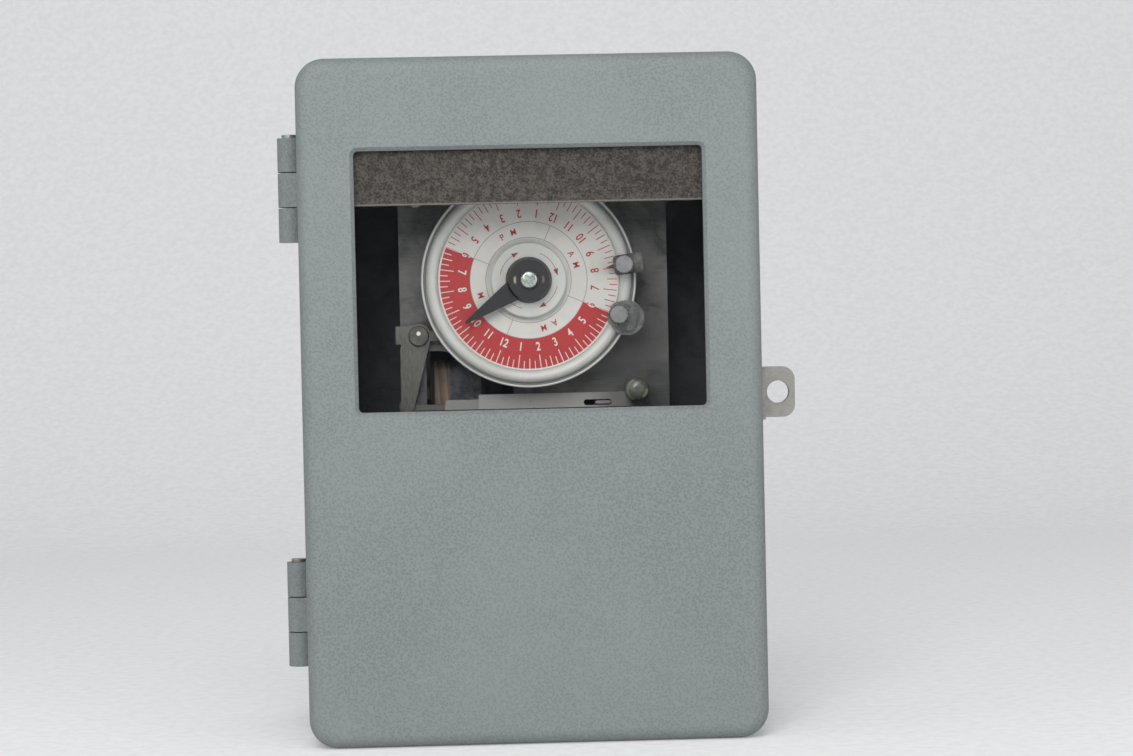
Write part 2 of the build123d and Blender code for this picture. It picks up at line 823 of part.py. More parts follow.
mechanism_plate.part.label = "mechanism_plate"
export_step(mechanism_plate.part, "parts/mechanism_plate.step")

plate_screws = pan_screws(
    post_spots,
    plate_front,
    plate_screw_radius,
    plate_thickness + plate_screw_grip,
    plate_head_radius,
    plate_head_height,
)
plate_screws.part.label = "plate_screws"
export_step(plate_screws.part, "parts/plate_screws.step")

# Gear plate behind the mechanism plate, and the pillars and screws that join the two

gear_plate_width = pillar_right - pillar_left + 2 * gear_plate_margin
gear_plate_height = pillar_high - pillar_low + 2 * gear_plate_margin
gear_plate_middle = ((pillar_left + pillar_right) / 2, (pillar_low + pillar_high) / 2)
motor_screw_spots = [
    polar(can_spot, motor_screw_offset, motor_screw_direction),
    polar(can_spot, motor_screw_offset, motor_screw_direction + 180),
]

with BuildPart() as gear_plate:
    with BuildSketch(level(gear_plate_rear)):
        with Locations(gear_plate_middle):
            RectangleRounded(gear_plate_width, gear_plate_height, plate_corner)
        with Locations(trip_pivot, *plain_pillars, *motor_screw_spots):
            Circle(frame_screw_radius, mode=Mode.SUBTRACT)
        with Locations(dial_spot):
            Circle(post_shaft_radius, mode=Mode.SUBTRACT)
        with Locations(wheel_spot):
            Circle(wheel_arbor_radius + running_clearance, mode=Mode.SUBTRACT)
        with Locations(motor_spot):
            Circle(motor_shaft_radius + shaft_hole_clearance, mode=Mode.SUBTRACT)
    extrude(amount=plate_thickness)

gear_plate.part.label = "gear_plate"
export_step(gear_plate.part, "parts/gear_plate.step")

with BuildPart() as frame_pillars:
    with BuildSketch(level(gear_plate_front)):
        with Locations(trip_pivot, *plain_pillars):
            Circle(pillar_radius)
            Circle(frame_screw_radius + thread_clearance, mode=Mode.SUBTRACT)
    extrude(amount=plate_gap)

frame_pillars.part.label = "frame_pillars"
export_step(frame_pillars.part, "parts/frame_pillars.step")

front_screws = pan_screws(
    plain_pillars,
    plate_front,
    frame_screw_radius,
    plate_thickness + frame_screw_grip,
    frame_head_radius,
    frame_head_height,
)
rear_screws = pan_screws(
    plain_pillars,
    gear_plate_rear,
    frame_screw_radius,
    plate_thickness + frame_screw_grip,
    frame_head_radius,
    frame_head_height,
    outward=-1,
)
with BuildPart() as pillar_screws:
    add(front_screws.part)
    add(rear_screws.part)

pillar_screws.part.label = "pillar_screws"
export_step(pillar_screws.part, "parts/pillar_screws.step")

# Fixed centre post that carries the pointer, and the bush for the dial's sleeve

with BuildPart() as centre_post:
    with BuildSketch(level(gear_plate_rear)):
        with Locations(dial_spot):
            Circle(post_shaft_radius)
    extrude(amount=pointer_rear + pointer_seat_depth - gear_plate_rear)
    with BuildSketch(level(pointer_rear + pointer_seat_depth)):
        with Locations(dial_spot):
            Circle(pointer_screw_radius + thread_clearance)
    extrude(amount=-pointer_screw_grip - 1, mode=Mode.SUBTRACT)

centre_post.part.label = "centre_post"
export_step(centre_post.part, "parts/centre_post.step")

with BuildPart() as dial_bush:
    with BuildSketch(level(plate_level)):
        with Locations(dial_spot):
            Circle(sleeve_radius + running_clearance + bush_wall)
    extrude(amount=plate_thickness + bush_collar)
    with BuildSketch(level(plate_front)):
        with Locations(dial_spot):
            Circle(sleeve_radius + running_clearance + 2 * bush_wall)
    extrude(amount=bush_collar)
    with BuildSketch(level(plate_level)):
        with Locations(dial_spot):
            Circle(sleeve_radius + running_clearance)
    extrude(amount=plate_thickness + bush_collar, mode=Mode.SUBTRACT)

dial_bush.part.label = "dial_bush"
export_step(dial_bush.part, "parts/dial_bush.step")

# Motor: gearbox can, laminated stator, and a taped coil on a bobbin round the stator's lower bar

can_rear = gear_plate_rear - can_depth
stator_rear = can_rear - stator_depth
coil_bar_bottom = can_centre_z - stator_below_can
stator_top = coil_bar_bottom + stator_height
coil_bar_middle = (can_centre_x, coil_bar_bottom + stator_low_bar / 2)

with BuildPart() as motor_can:
    with BuildSketch(level(can_rear)):
        with Locations(can_spot):
            Circle(can_radius)
    extrude(amount=can_depth)
    fillet(motor_can.faces().sort_by(Axis.Y)[-1].edges(), can_edge_radius)
    with BuildSketch(level(gear_plate_rear)):
        with Locations(motor_spot):
            Circle(motor_shaft_radius + running_clearance)
        with Locations(*motor_screw_spots):
            Circle(frame_screw_radius + thread_clearance)
    extrude(amount=-shaft_bearing_depth, mode=Mode.SUBTRACT)

motor_can.part.label = "motor_can"
export_step(motor_can.part, "parts/motor_can.step")

motor_screws = pan_screws(
    motor_screw_spots,
    gear_plate_front,
    frame_screw_radius,
    plate_thickness + frame_screw_grip,
    frame_head_radius,
    motor_head_height,
)
motor_screws.part.label = "motor_screws"
export_step(motor_screws.part, "parts/motor_screws.step")

with BuildPart() as motor_stator:
    with BuildSketch(level(stator_rear)):
        with Locations((coil_bar_middle[0], coil_bar_bottom)):
            Rectangle(stator_width, stator_top - coil_bar_bottom, align=(Align.CENTER, Align.MIN))
        with Locations((coil_bar_middle[0], coil_bar_bottom + stator_low_bar)):
            Rectangle(
                stator_width - 2 * stator_leg,
                stator_top - coil_bar_bottom - stator_low_bar - stator_leg,
                align=(Align.CENTER, Align.MIN),
                mode=Mode.SUBTRACT,
            )
    extrude(amount=stator_depth)

motor_stator.part.label = "motor_stator"
export_step(motor_stator.part, "parts/motor_stator.step")

coil_level = stator_rear + stator_depth / 2

with BuildPart() as coil_bobbin:
    for side in (-1, 1):
        flange_start = coil_bar_middle[0] + side * coil_length / 2
        flange_plane = Plane(
            origin=(flange_start, -coil_level, coil_bar_middle[1]), x_dir=(0, 0, 1), z_dir=(side, 0, 0)
        )
        with BuildSketch(flange_plane):
            RectangleRounded(
                stator_low_bar + 2 * (coil_overhang + bobbin_rim),
                stator_depth + 2 * (coil_overhang + bobbin_rim),
                2,
            )
            Rectangle(stator_low_bar, stator_depth, mode=Mode.SUBTRACT)
        extrude(amount=bobbin_flange)

coil_bobbin.part.label = "coil_bobbin"
export_step(coil_bobbin.part, "parts/coil_bobbin.step")

with BuildPart() as motor_coil:
    coil_start = coil_bar_middle[0] - coil_length / 2
    coil_plane = Plane(
        origin=(coil_start, -coil_level, coil_bar_middle[1]), x_dir=(0, 0, 1), z_dir=(1, 0, 0)
    )
    with BuildSketch(coil_plane):
        RectangleRounded(stator_low_bar + 2 * coil_overhang, stator_depth + 2 * coil_overhang, coil_corner)
        Rectangle(stator_low_bar, stator_depth, mode=Mode.SUBTRACT)
    extrude(amount=coil_length)

motor_coil.part.label = "motor_coil"
export_step(motor_coil.part, "parts/motor_coil.step")

# Gear train: motor pinion, intermediate wheel with its pinion and arbor, and dial gear on its sleeve

with BuildPart() as motor_pinion:
    with BuildSketch(level(gear_plate_rear - shaft_bearing_depth + arbor_end_gap)):
        with Locations(motor_spot):
            Circle(motor_shaft_radius)
    extrude(amount=wheel_front + gear_step / 4 - gear_plate_rear + shaft_bearing_depth - arbor_end_gap)
    with BuildSketch(level(wheel_rear - gear_step / 4)):
        with Locations(motor_spot):
            Polygon(
                *gear_outline(pinion_teeth), rotation=motor_direction + 180 + half_pinion_tooth, align=None
            )
    extrude(amount=gear_thickness + gear_step / 2)

motor_pinion.part.label = "motor_pinion"
export_step(motor_pinion.part, "parts/motor_pinion.step")

with BuildPart() as idler_wheel:
    with BuildSketch(level(gear_plate_rear + arbor_end_gap)):
        with Locations(wheel_spot):
            Circle(wheel_arbor_radius)
    extrude(amount=plate_front - gear_plate_rear - arbor_end_gap)
    with BuildSketch(level(wheel_rear)):
        with Locations(wheel_spot):
            Polygon(*gear_outline(wheel_teeth), rotation=motor_direction, align=None)
    extrude(amount=gear_thickness)
    with BuildSketch(level(wheel_front)):
        with Locations(wheel_spot):
            Polygon(
                *gear_outline(pinion_teeth), rotation=wheel_direction + 180 + half_pinion_tooth, align=None
            )
    extrude(amount=gear_step + gear_thickness + pinion_overrun)

idler_wheel.part.label = "idler_wheel"
export_step(idler_wheel.part, "parts/idler_wheel.step")

with BuildPart() as dial_gear:
    with BuildSketch(level(dial_gear_rear)):
        with Locations(dial_spot):
            Polygon(*gear_outline(dial_teeth), rotation=wheel_direction, align=None)
            Circle(sleeve_radius, mode=Mode.SUBTRACT)
    extrude(amount=gear_thickness)

dial_gear.part.label = "dial_gear"
export_step(dial_gear.part, "parts/dial_gear.step")

with BuildPart() as dial_sleeve:
    with BuildSketch(level(gear_plate_front + arbor_end_gap)):
        with Locations(dial_spot):
            Circle(sleeve_radius)
            Circle(sleeve_bore, mode=Mode.SUBTRACT)
    extrude(amount=cap_front - arbor_end_gap - gear_plate_front - arbor_end_gap)

dial_sleeve.part.label = "dial_sleeve"
export_step(dial_sleeve.part, "parts/dial_sleeve.step")

# Dial disc: flat web, rounded band, groove and outer bead, turned about the dial's axis

band_outer = dial_radius - dial_bead_width - dial_groove_width
band_inner = band_outer - dial_band_width
band_middle = (band_outer + band_inner) / 2
groove_floor = dial_seat - dial_groove_depth + dial_bead_height / 4
bead_top = dial_rear + dial_bead_height

with BuildPart() as dial_disc:
    with BuildSketch(dial_profile):
        with BuildLine():
            Line((sleeve_radius, dial_rear), (dial_radius, dial_rear))
            Line((dial_radius, dial_rear), (dial_radius, bead_top - dial_bead_width / 2))
            ThreePointArc(
                (dial_radius, bead_top - dial_bead_width / 2),
                (dial_radius - dial_bead_width / 2, bead_top),
                (dial_radius - dial_bead_width, bead_top - dial_bead_width / 2),
            )
            Line((dial_radius - dial_bead_width, bead_top - dial_bead_width / 2),
                 (dial_radius - dial_bead_width, groove_floor))
            Line((dial_radius - dial_bead_width, groove_floor), (band_outer, groove_floor))
            ThreePointArc((band_outer, groove_floor), (band_middle, band_top), (band_inner, dial_seat))
            Line((band_inner, dial_seat), (sleeve_radius, dial_seat))
            Line((sleeve_radius, dial_seat), (sleeve_radius, dial_rear))
        make_face()
    revolve(axis=dial_axis)

dial_disc.part.label = "dial_disc"
export_step(dial_disc.part, "parts/dial_disc.step")

with BuildPart() as dial_face:
    with BuildSketch(level(dial_seat)):
        with Locations(dial_spot):
            Circle(band_inner - face_gap)
            Circle(face_inner_radius, mode=Mode.SUBTRACT)
    extrude(amount=face_thickness)

dial_face.part.label = "dial_face"
export_step(dial_face.part, "parts/dial_face.step")

with BuildPart() as dial_cap:
    with BuildSketch(level(dial_seat)):
        with Locations(dial_spot):
            Circle(cap_radius)
    extrude(amount=cap_height)
    fillet(dial_cap.faces().sort_by(Axis.Y)[0].edges(), cap_edge_radius)
    with BuildSketch(level(dial_seat)):
        with Locations(dial_spot):
            Circle(sleeve_radius)
    extrude(amount=cap_height, mode=Mode.SUBTRACT)

dial_cap.part.label = "dial_cap"
export_step(dial_cap.part, "parts/dial_cap.step")

# Pointer: tapered hub and teardrop arm, fixed on the centre post by its screw

with BuildPart() as pointer:
    with BuildSketch(dial_plane(pointer_rear, pointer_angle)):
        with Locations((pointer_root_reach, 0)):
            Circle(pointer_root_radius)
        with Locations((pointer_shoulder_reach, 0)):
            Circle(pointer_shoulder_radius)
        make_hull()
    extrude(amount=pointer_arm_thickness)
    with BuildSketch(dial_plane(pointer_rear, pointer_angle)):
        with Locations((pointer_shoulder_reach, 0)):
            Circle(pointer_shoulder_radius)
        with Locations((pointer_reach - pointer_tip_radius, 0)):
            Circle(pointer_tip_radius)
        make_hull()
    extrude(amount=pointer_arm_thickness)
    with BuildSketch(dial_plane(pointer_rear, pointer_angle)):
        Circle(pointer_hub_radius)
    extrude(amount=pointer_hub_height, taper=pointer_hub_taper)
    with BuildSketch(dial_plane(pointer_rear, pointer_angle)):
        Circle(post_shaft_radius)
    extrude(amount=pointer_seat_depth, mode=Mode.SUBTRACT)
    with BuildSketch(dial_plane(pointer_rear, pointer_angle)):
        Circle(pointer_screw_radius + thread_clearance)
    extrude(amount=pointer_hub_height, mode=Mode.SUBTRACT)

pointer.part.label = "pointer"
export_step(pointer.part, "parts/pointer.step")

pointer_screw = pan_screws(
    [dial_spot],
    pointer_front,
    pointer_screw_radius,
    pointer_hub_height - pointer_seat_depth + pointer_screw_grip,
    pointer_screw_head_radius,
    pointer_screw_head_height,
)
pointer_screw.part.label = "pointer_screw"
export_step(pointer_screw.part, "parts/pointer_screw.step")

# Trippers: a clip that hooks over the rim, held by a thumbscrew that presses on the rounded band

jaw_rear = dial_rear - tripper_gap - tripper_lower_jaw
jaw_front = band_top + tripper_gap + tripper_upper_jaw
clip_height = jaw_front - jaw_rear
clip_middle = (tripper_jaw_reach + tripper_outer_reach) / 2
rim_room = band_top - dial_rear + 2 * tripper_gap

with BuildPart() as off_tripper:
    with BuildSketch(dial_plane(jaw_rear, off_tripper_angle)):
        with Locations((clip_middle, 0)):
            RectangleRounded(
                tripper_outer_reach - tripper_jaw_reach, off_tripper_width, off_tripper_corner
            )
    extrude(amount=clip_height)
    with BuildSketch(dial_plane(jaw_front - tripper_upper_jaw, off_tripper_angle)):
        with BuildLine():
            Polyline(
                (clip_middle, tripper_finger_width),
                (tripper_finger_reach, 0),
                (clip_middle, -tripper_finger_width),
                close=True,
            )
        make_face()
    extrude(amount=tripper_finger_thickness)
    with BuildSketch(dial_plane(jaw_rear, off_tripper_angle)):
        with Locations((clip_middle, 0)):
            Rectangle(tripper_lug_width, off_tripper_width)
    extrude(amount=-tripper_lug_length)
    with BuildSketch(level(dial_rear - tripper_gap)):
        with Locations(dial_spot):
            Circle(dial_radius + tripper_gap)
    extrude(amount=rim_room, mode=Mode.SUBTRACT)
    with BuildSketch(dial_plane(band_top, off_tripper_angle)):
        with Locations((tripper_screw_reach, 0)):
            Circle(tripper_screw_radius + thread_clearance)
    extrude(amount=tripper_upper_jaw + tripper_gap, mode=Mode.SUBTRACT)

off_tripper.part.label = "off_tripper"
export_step(off_tripper.part, "parts/off_tripper.step")

with BuildPart() as on_tripper:
    with BuildSketch(dial_plane(jaw_rear, on_tripper_angle)):
        with Locations((clip_middle, 0)):
            RectangleRounded(
                tripper_outer_reach - tripper_jaw_reach, on_tripper_width, on_tripper_corner
            )
    extrude(amount=clip_height)
    with BuildSketch(dial_plane(jaw_rear, on_tripper_angle)):
        with Locations((on_tripper_boss_reach, 0)):
            Circle(on_tripper_boss_radius)
    extrude(amount=clip_height - tripper_upper_jaw / 2)
    with BuildSketch(dial_plane(jaw_rear, on_tripper_angle)):
        with Locations((clip_middle, 0)):
            Rectangle(tripper_lug_width, on_tripper_width / 2)
    extrude(amount=-tripper_lug_length)
    with BuildSketch(level(dial_rear - tripper_gap)):
        with Locations(dial_spot):
            Circle(dial_radius + tripper_gap)
    extrude(amount=rim_room, mode=Mode.SUBTRACT)
    with BuildSketch(dial_plane(band_top, on_tripper_angle)):
        with Locations((tripper_screw_reach, 0)):
            Circle(tripper_screw_radius + thread_clearance)
    extrude(amount=tripper_upper_jaw + tripper_gap, mode=Mode.SUBTRACT)

on_tripper.part.label = "on_tripper"
export_step(on_tripper.part, "parts/on_tripper.step")


def thumbscrew(angle):
    """Thumbscrew with a ribbed round knob, standing on a tripper's upper jaw."""
    with BuildPart() as screw:
        with BuildSketch(dial_plane(band_top + thread_clearance, angle)):
            with Locations((tripper_screw_reach, 0)):
                Circle(tripper_screw_radius)
        extrude(amount=jaw_front - band_top + tripper_gap)
        with BuildSketch(dial_plane(jaw_front + tripper_gap, angle)):
            with Locations((tripper_screw_reach, 0)):
                Circle(tripper_knob_radius)
                with PolarLocations(tripper_knob_radius, 16):
                    Circle(tripper_knob_radius / 12, mode=Mode.SUBTRACT)
        extrude(amount=tripper_knob_height)
        chamfer(screw.faces().sort_by(Axis.Y)[0].edges(), 0.15)
    return screw


off_tripper_screw = thumbscrew(off_tripper_angle)
off_tripper_screw.part.label = "off_tripper_screw"
export_step(off_tripper_screw.part, "parts/off_tripper_screw.step")

on_tripper_screw = thumbscrew(on_tripper_angle)
on_tripper_screw.part.label = "on_tripper_screw"
export_step(on_tripper_screw.part, "parts/on_tripper_screw.step")

# Slide bar: stepped down to the trip lever, with slots for two pins and a key, and pegs astride the blades

with BuildPart() as slide_bar:
    with BuildSketch(level(bar_rear)) as bar_outline:
        with BuildLine():
            Polyline(
                (trip_pin[0], bar_height - bar_drop),
                (trip_pin[0], bar_height + bar_neck_rise),
                (bar_neck_x, bar_height + bar_neck_rise),
                (bar_neck_x, bar_height + bar_low_rise),
                (bar_step_x, bar_height + bar_low_rise),
                (bar_step_x, bar_height + bar_rise),
                (manual_pin[0], bar_height + bar_rise),
                (manual_pin[0], bar_height - bar_drop),
                close=True,
            )
        make_face()
        fillet(bar_outline.vertices(), bar_corner)
        with Locations(trip_pin, manual_pin):
            Circle(bar_eye_radius)
        with Locations(trip_pin, manual_pin):
            SlotOverall(pin_slot_width + 2 * lever_pin_room, pin_slot_width, rotation=90, mode=Mode.SUBTRACT)
        with Locations(guide_slot_spot):
            SlotOverall(guide_slot_length, guide_key_width + 2 * guide_slot_gap, mode=Mode.SUBTRACT)
    extrude(amount=bar_thickness)
    with BuildSketch(level(bar_rear)):
        with Locations(*peg_spots):
            Circle(peg_radius)
    extrude(amount=-peg_length)

slide_bar.part.label = "slide_bar"
export_step(slide_bar.part, "parts/slide_bar.step")

with BuildPart() as guide_key:
    with BuildSketch(level(plate_level)):
        with Locations(guide_key_spot):
            SlotOverall(guide_key_length, guide_key_width)
    extrude(amount=bar_front - plate_level)

guide_key.part.label = "guide_key"
export_step(guide_key.part, "parts/guide_key.step")

# Trip lever: eye on the lower left pillar, arm down to the bar, tab past the plate and pawl under the dial

with BuildPart() as trip_lever:
    with BuildSketch(level(lever_rear)):
        with Locations(trip_pivot):
            Circle(trip_eye_radius)
        with Locations(trip_shoulder, trip_pin):
            Circle(trip_arm_end_radius)
        make_hull()
    extrude(amount=lever_thickness)
    with BuildSketch(level(lever_rear)):
        with Locations((pillar_left, pillar_low + trip_tab_lift)):
            Rectangle(trip_tab_reach, trip_tab_width, align=(Align.MAX, Align.CENTER))
        with Locations(trip_pivot):
            Rectangle(trip_pawl_offset + trip_pawl_width, trip_pawl_length, align=(Align.MIN, Align.CENTER))
    extrude(amount=lever_thickness)
    with BuildSketch(level(lever_front)):
        with Locations((pillar_left + trip_pawl_offset, pillar_low)):
            Rectangle(trip_pawl_width, trip_pawl_length, align=(Align.MIN, Align.CENTER))
    extrude(amount=trip_pawl_rise)
    with BuildSketch(level(lever_rear)):
        with Locations(trip_pin):
            Circle(lever_pin_radius)
    extrude(amount=-lever_gap - bar_thickness)
    with BuildSketch(level(lever_rear)):
        with Locations(trip_pivot):
            Circle(pivot_radius + running_clearance)
    extrude(amount=lever_thickness, mode=Mode.SUBTRACT)

trip_lever.part.label = "trip_lever"
export_step(trip_lever.part, "parts/trip_lever.step")


def shoulder_pivot(spot, shank_end):
    """Shouldered pivot for a lever, with its head in front and its shank through the plate."""
    with BuildPart() as pivot:
        with BuildSketch(level(plate_front)):
            with Locations(spot):
                Circle(pivot_radius)
        extrude(amount=lever_front + pivot_end_play - plate_front)
        with BuildSketch(level(lever_front + pivot_end_play)):
            with Locations(spot):
                Circle(pivot_head_radius)
        extrude(amount=pivot_head_height)
        fillet(pivot.faces().sort_by(Axis.Y)[0].edges(), pivot_head_height / 3)
        with BuildSketch(level(plate_front)):
            with Locations(spot):
                Circle(frame_screw_radius)
        extrude(amount=shank_end - plate_front)
    return pivot


trip_lever_pivot = shoulder_pivot(trip_pivot, gear_plate_rear)
trip_lever_pivot.part.label = "trip_lever_pivot"
export_step(trip_lever_pivot.part, "parts/trip_lever_pivot.step")

# Manual lever: eye, knob arm with the hook pin of the snap spring, and a pin into the bar

with BuildPart() as manual_lever:
    with BuildSketch(level(lever_rear)):
        with Locations(manual_pivot, manual_knob_spot):
            Circle(lever_arm_radius)
        make_hull()
        with Locations(manual_pivot):
            Circle(lever_eye_radius)
    extrude(amount=lever_thickness)
    with BuildSketch(level(lever_rear)):
        with Locations(manual_pin):
            Circle(lever_pin_radius)
    extrude(amount=-lever_gap - bar_thickness)
    with BuildSketch(level(lever_front)):
        with Locations(spring_hook):
            Circle(spring_pin_radius)
    extrude(amount=spring_level - spring_bend + spring_pin_overrun - lever_front)
    with BuildSketch(level(lever_rear)):
        with Locations(manual_pivot):
            Circle(pivot_radius + running_clearance)
    extrude(amount=lever_thickness, mode=Mode.SUBTRACT)

manual_lever.part.label = "manual_lever"
export_step(manual_lever.part, "parts/manual_lever.step")

with BuildPart() as manual_knob:
    with BuildSketch(level(lever_front)):
        with Locations(manual_knob_spot):
            Circle(manual_knob_radius)
    extrude(amount=manual_knob_height)
    fillet(manual_knob.faces().sort_by(Axis.Y)[0].edges(), manual_knob_round)

manual_knob.part.label = "manual_knob"
export_step(manual_knob.part, "parts/manual_knob.step")

manual_lever_pivot = shoulder_pivot(manual_pivot, plate_level)
manual_lever_pivot.part.label = "manual_lever_pivot"
export_step(manual_lever_pivot.part, "parts/manual_lever_pivot.step")

# Snap spring from the manual lever's hook pin past its pivot to the anchor: one tube with two eyes

spring_radius = spring_pin_radius + spring_eye_clearance + spring_wire_radius
spring_reach = Vector(spring_hook[0] - spring_anchor[0], 0, spring_hook[1] - spring_anchor[1])
spring_span = spring_reach.length
spring_plane = Plane(
    origin=(spring_anchor[0], -spring_level, spring_anchor[1]),
    x_dir=(spring_reach.Z, 0, -spring_reach.X),
    z_dir=(spring_reach.X, 0, spring_reach.Z),
)
coil_end = spring_coil_start + spring_pitch * spring_turns


def coil_point(quarter):
    """Point on the coil after this many quarter turns, in the spring's own plane."""
    turn = pi * quarter / 2
    height = spring_coil_start + spring_pitch * quarter / 4
    return (spring_radius * cos(turn), spring_radius * sin(turn), height)


def bend_point(height, part):
    """Point on the bend at a coil end: 0 on the coil, 1 on the straight wire, by way of 0.5."""
    sign = 1 if height > spring_span / 3 else -1
    turn = pi * part / 2
    out = spring_bend * sin(turn)
    return (spring_radius, sign * out, height + sign * spring_bend * (1 - cos(turn)))


with BuildPart() as snap_spring:
    with BuildLine(spring_plane) as spring_path:
        ThreePointArc(
            (0, -spring_bend, spring_radius),
            (-spring_radius * cos(pi / 4), -spring_bend, -spring_radius * sin(pi / 4)),
            (spring_radius, -spring_bend, 0),
        )
        Line((spring_radius, -spring_bend, 0), bend_point(spring_coil_start, 1))
        ThreePointArc(
            bend_point(spring_coil_start, 1), bend_point(spring_coil_start, 0.5), coil_point(0)
        )
        for half_turn in range(2 * spring_turns):
            ThreePointArc(
                coil_point(2 * half_turn), coil_point(2 * half_turn + 1), coil_point(2 * half_turn + 2)
            )
        ThreePointArc(coil_point(4 * spring_turns), bend_point(coil_end, 0.5), bend_point(coil_end, 1))
        Line(bend_point(coil_end, 1), (spring_radius, spring_bend, spring_span))
        ThreePointArc(
            (spring_radius, spring_bend, spring_span),
            (-spring_radius * cos(pi / 4), spring_bend, spring_span + spring_radius * sin(pi / 4)),
            (0, spring_bend, spring_span - spring_radius),
        )
    with BuildSketch(Plane(origin=spring_path.line @ 0, z_dir=spring_path.line % 0)):
        Circle(spring_wire_radius)
    sweep()

spring_length = sum(edge.length for edge in spring_path.line.edges())
spring_volume = pi * spring_wire_radius ** 2 * spring_length
print("spring volume over section times length", round(snap_spring.part.volume / spring_volume, 4))
print("spring length", round(spring_length, 1), "wire radius", spring_wire_radius)
print("least gap between turns", round(spring_pitch - 2 * spring_wire_radius, 2))

snap_spring.part.label = "snap_spring"
export_step(snap_spring.part, "parts/snap_spring.step")

with BuildPart() as spring_anchor_stud:
    eye_rear = spring_level + spring_bend - spring_wire_radius - spring_eye_clearance
    with BuildSketch(level(plate_front)):
        with Locations(spring_anchor):
            Circle(spring_anchor_radius)
    extrude(amount=eye_rear - plate_front)
    with BuildSketch(level(plate_level)):
        with Locations(spring_anchor):
            Circle(spring_pin_radius)
    extrude(amount=spring_level + spring_bend + spring_pin_overrun - plate_level)

spring_anchor_stud.part.label = "spring_anchor_stud"
export_step(spring_anchor_stud.part, "parts/spring_anchor_stud.step")

# Switch block: two chambers open at the top, a step through the plate, and ribs between terminals

fixed_face = blade_thickness / 2 + 2 * button_thickness + contact_gap
foot_bottom = block_top - block_height + chamber_bottom_wall
foot_height = blade_pivot_height - blade_roll_radius - blade_roll_gap - foot_bottom
foot_middle = foot_bottom + foot_height / 2
pad_bottom = block_centre - step_height / 2
pad_middle = pad_bottom + pad_height / 2
fixed_pad_spots = [(place - fixed_face - pad_width / 2, pad_middle) for place in blade_places]
blade_pad_spots = [(place - blade_thickness / 2 + pad_width / 2, pad_middle) for place in blade_places]
pad_gap_shift = (fixed_face + blade_thickness / 2) / 2
slot_spots = [(place - fixed_face - fixed_strip_thickness / 2, foot_middle) for place in blade_places] + [
    (place - blade_thickness / 2 + fixed_strip_thickness / 2, foot_middle) for place in blade_places
]

with BuildPart() as switch_block:
    with BuildSketch(level(block_rear)):
        with Locations((0, block_centre)):
            RectangleRounded(block_width, block_height, 1.5)
    extrude(amount=block_back_depth)
    with BuildSketch(level(plate_level)):
        with Locations((0, block_centre)):
            RectangleRounded(step_width, step_height, 1)
    extrude(amount=step_depth)
    with BuildSketch(level(step_front)):
        with Locations(*[(x - pad_gap_shift, pad_bottom) for x in (*blade_places, pole_centre)]):
            Rectangle(
                barrier_thickness, pad_height + barrier_top_margin, align=(Align.CENTER, Align.MIN)
            )
    extrude(amount=barrier_height)
    with BuildSketch(level(chamber_rear)):
        with Locations(*[(place, block_top) for place in blade_places]):
            Rectangle(chamber_width, block_height - chamber_bottom_wall, align=(Align.CENTER, Align.MAX))
    extrude(amount=chamber_depth, mode=Mode.SUBTRACT)
    with BuildSketch(level(step_front)):
        with Locations(*slot_spots):
            Rectangle(
                fixed_strip_thickness + 2 * strip_slot_clearance, foot_height + 2 * strip_slot_clearance
            )
    extrude(amount=chamber_rear + chamber_depth - step_front, mode=Mode.SUBTRACT)
    with BuildSketch(level(step_front)):
        with Locations(*fixed_pad_spots, *blade_pad_spots):
            Circle(terminal_screw_radius + thread_clearance)
    extrude(amount=-terminal_screw_grip - 1, mode=Mode.SUBTRACT)
    with BuildSketch(level(plate_level)):
        with Locations(*block_screw_spots):
            Circle(frame_screw_radius + thread_clearance)
    extrude(amount=-block_screw_grip - 1, mode=Mode.SUBTRACT)
    with BuildSketch(level(chamber_rear - blade_pin_seat)):
        with Locations(*[(place, blade_pivot_height) for place in blade_places]):
            Circle(blade_pin_radius)
    extrude(amount=chamber_depth + 2 * blade_pin_seat, mode=Mode.SUBTRACT)

switch_block.part.label = "switch_block"
export_step(switch_block.part, "parts/switch_block.step")

block_screws = pan_screws(
    block_screw_spots,
    plate_front,
    frame_screw_radius,
    plate_thickness + block_screw_grip,
    frame_head_radius,
    frame_head_height,
)
block_screws.part.label = "block_screws"
export_step(block_screws.part, "parts/block_screws.step")

# Fixed contacts: strip in the chamber, button, foot through the block and terminal pad

with BuildPart() as fixed_contacts:
    with BuildSketch(level(strip_rear)):
        with Locations(*[(place - fixed_face, foot_bottom) for place in blade_places]):
            Rectangle(fixed_strip_thickness, block_top - foot_bottom, align=(Align.MAX, Align.MIN))
    extrude(amount=strip_width)
    with BuildSketch(level(strip_rear)):
        with Locations(*[(place - fixed_face, foot_bottom) for place in blade_places]):
            Rectangle(fixed_strip_thickness, foot_height, align=(Align.MAX, Align.MIN))
    extrude(amount=step_front - strip_rear)
    with BuildSketch(level(step_front)):
        with Locations(*fixed_pad_spots):
            Rectangle(pad_width, pad_height)
            Circle(terminal_screw_radius + screw_hole_clearance, mode=Mode.SUBTRACT)
    extrude(amount=pad_thickness)
    for place in blade_places:
        with BuildSketch(Plane(origin=(place - fixed_face, -strip_middle, contact_height), z_dir=(1, 0, 0))):
            Circle(button_radius)
        extrude(amount=button_thickness)

fixed_contacts.part.label = "fixed_contacts"
export_step(fixed_contacts.part, "parts/fixed_contacts.step")

# Feet of the moving blades, under the blades' rolled ends, with their terminal pads

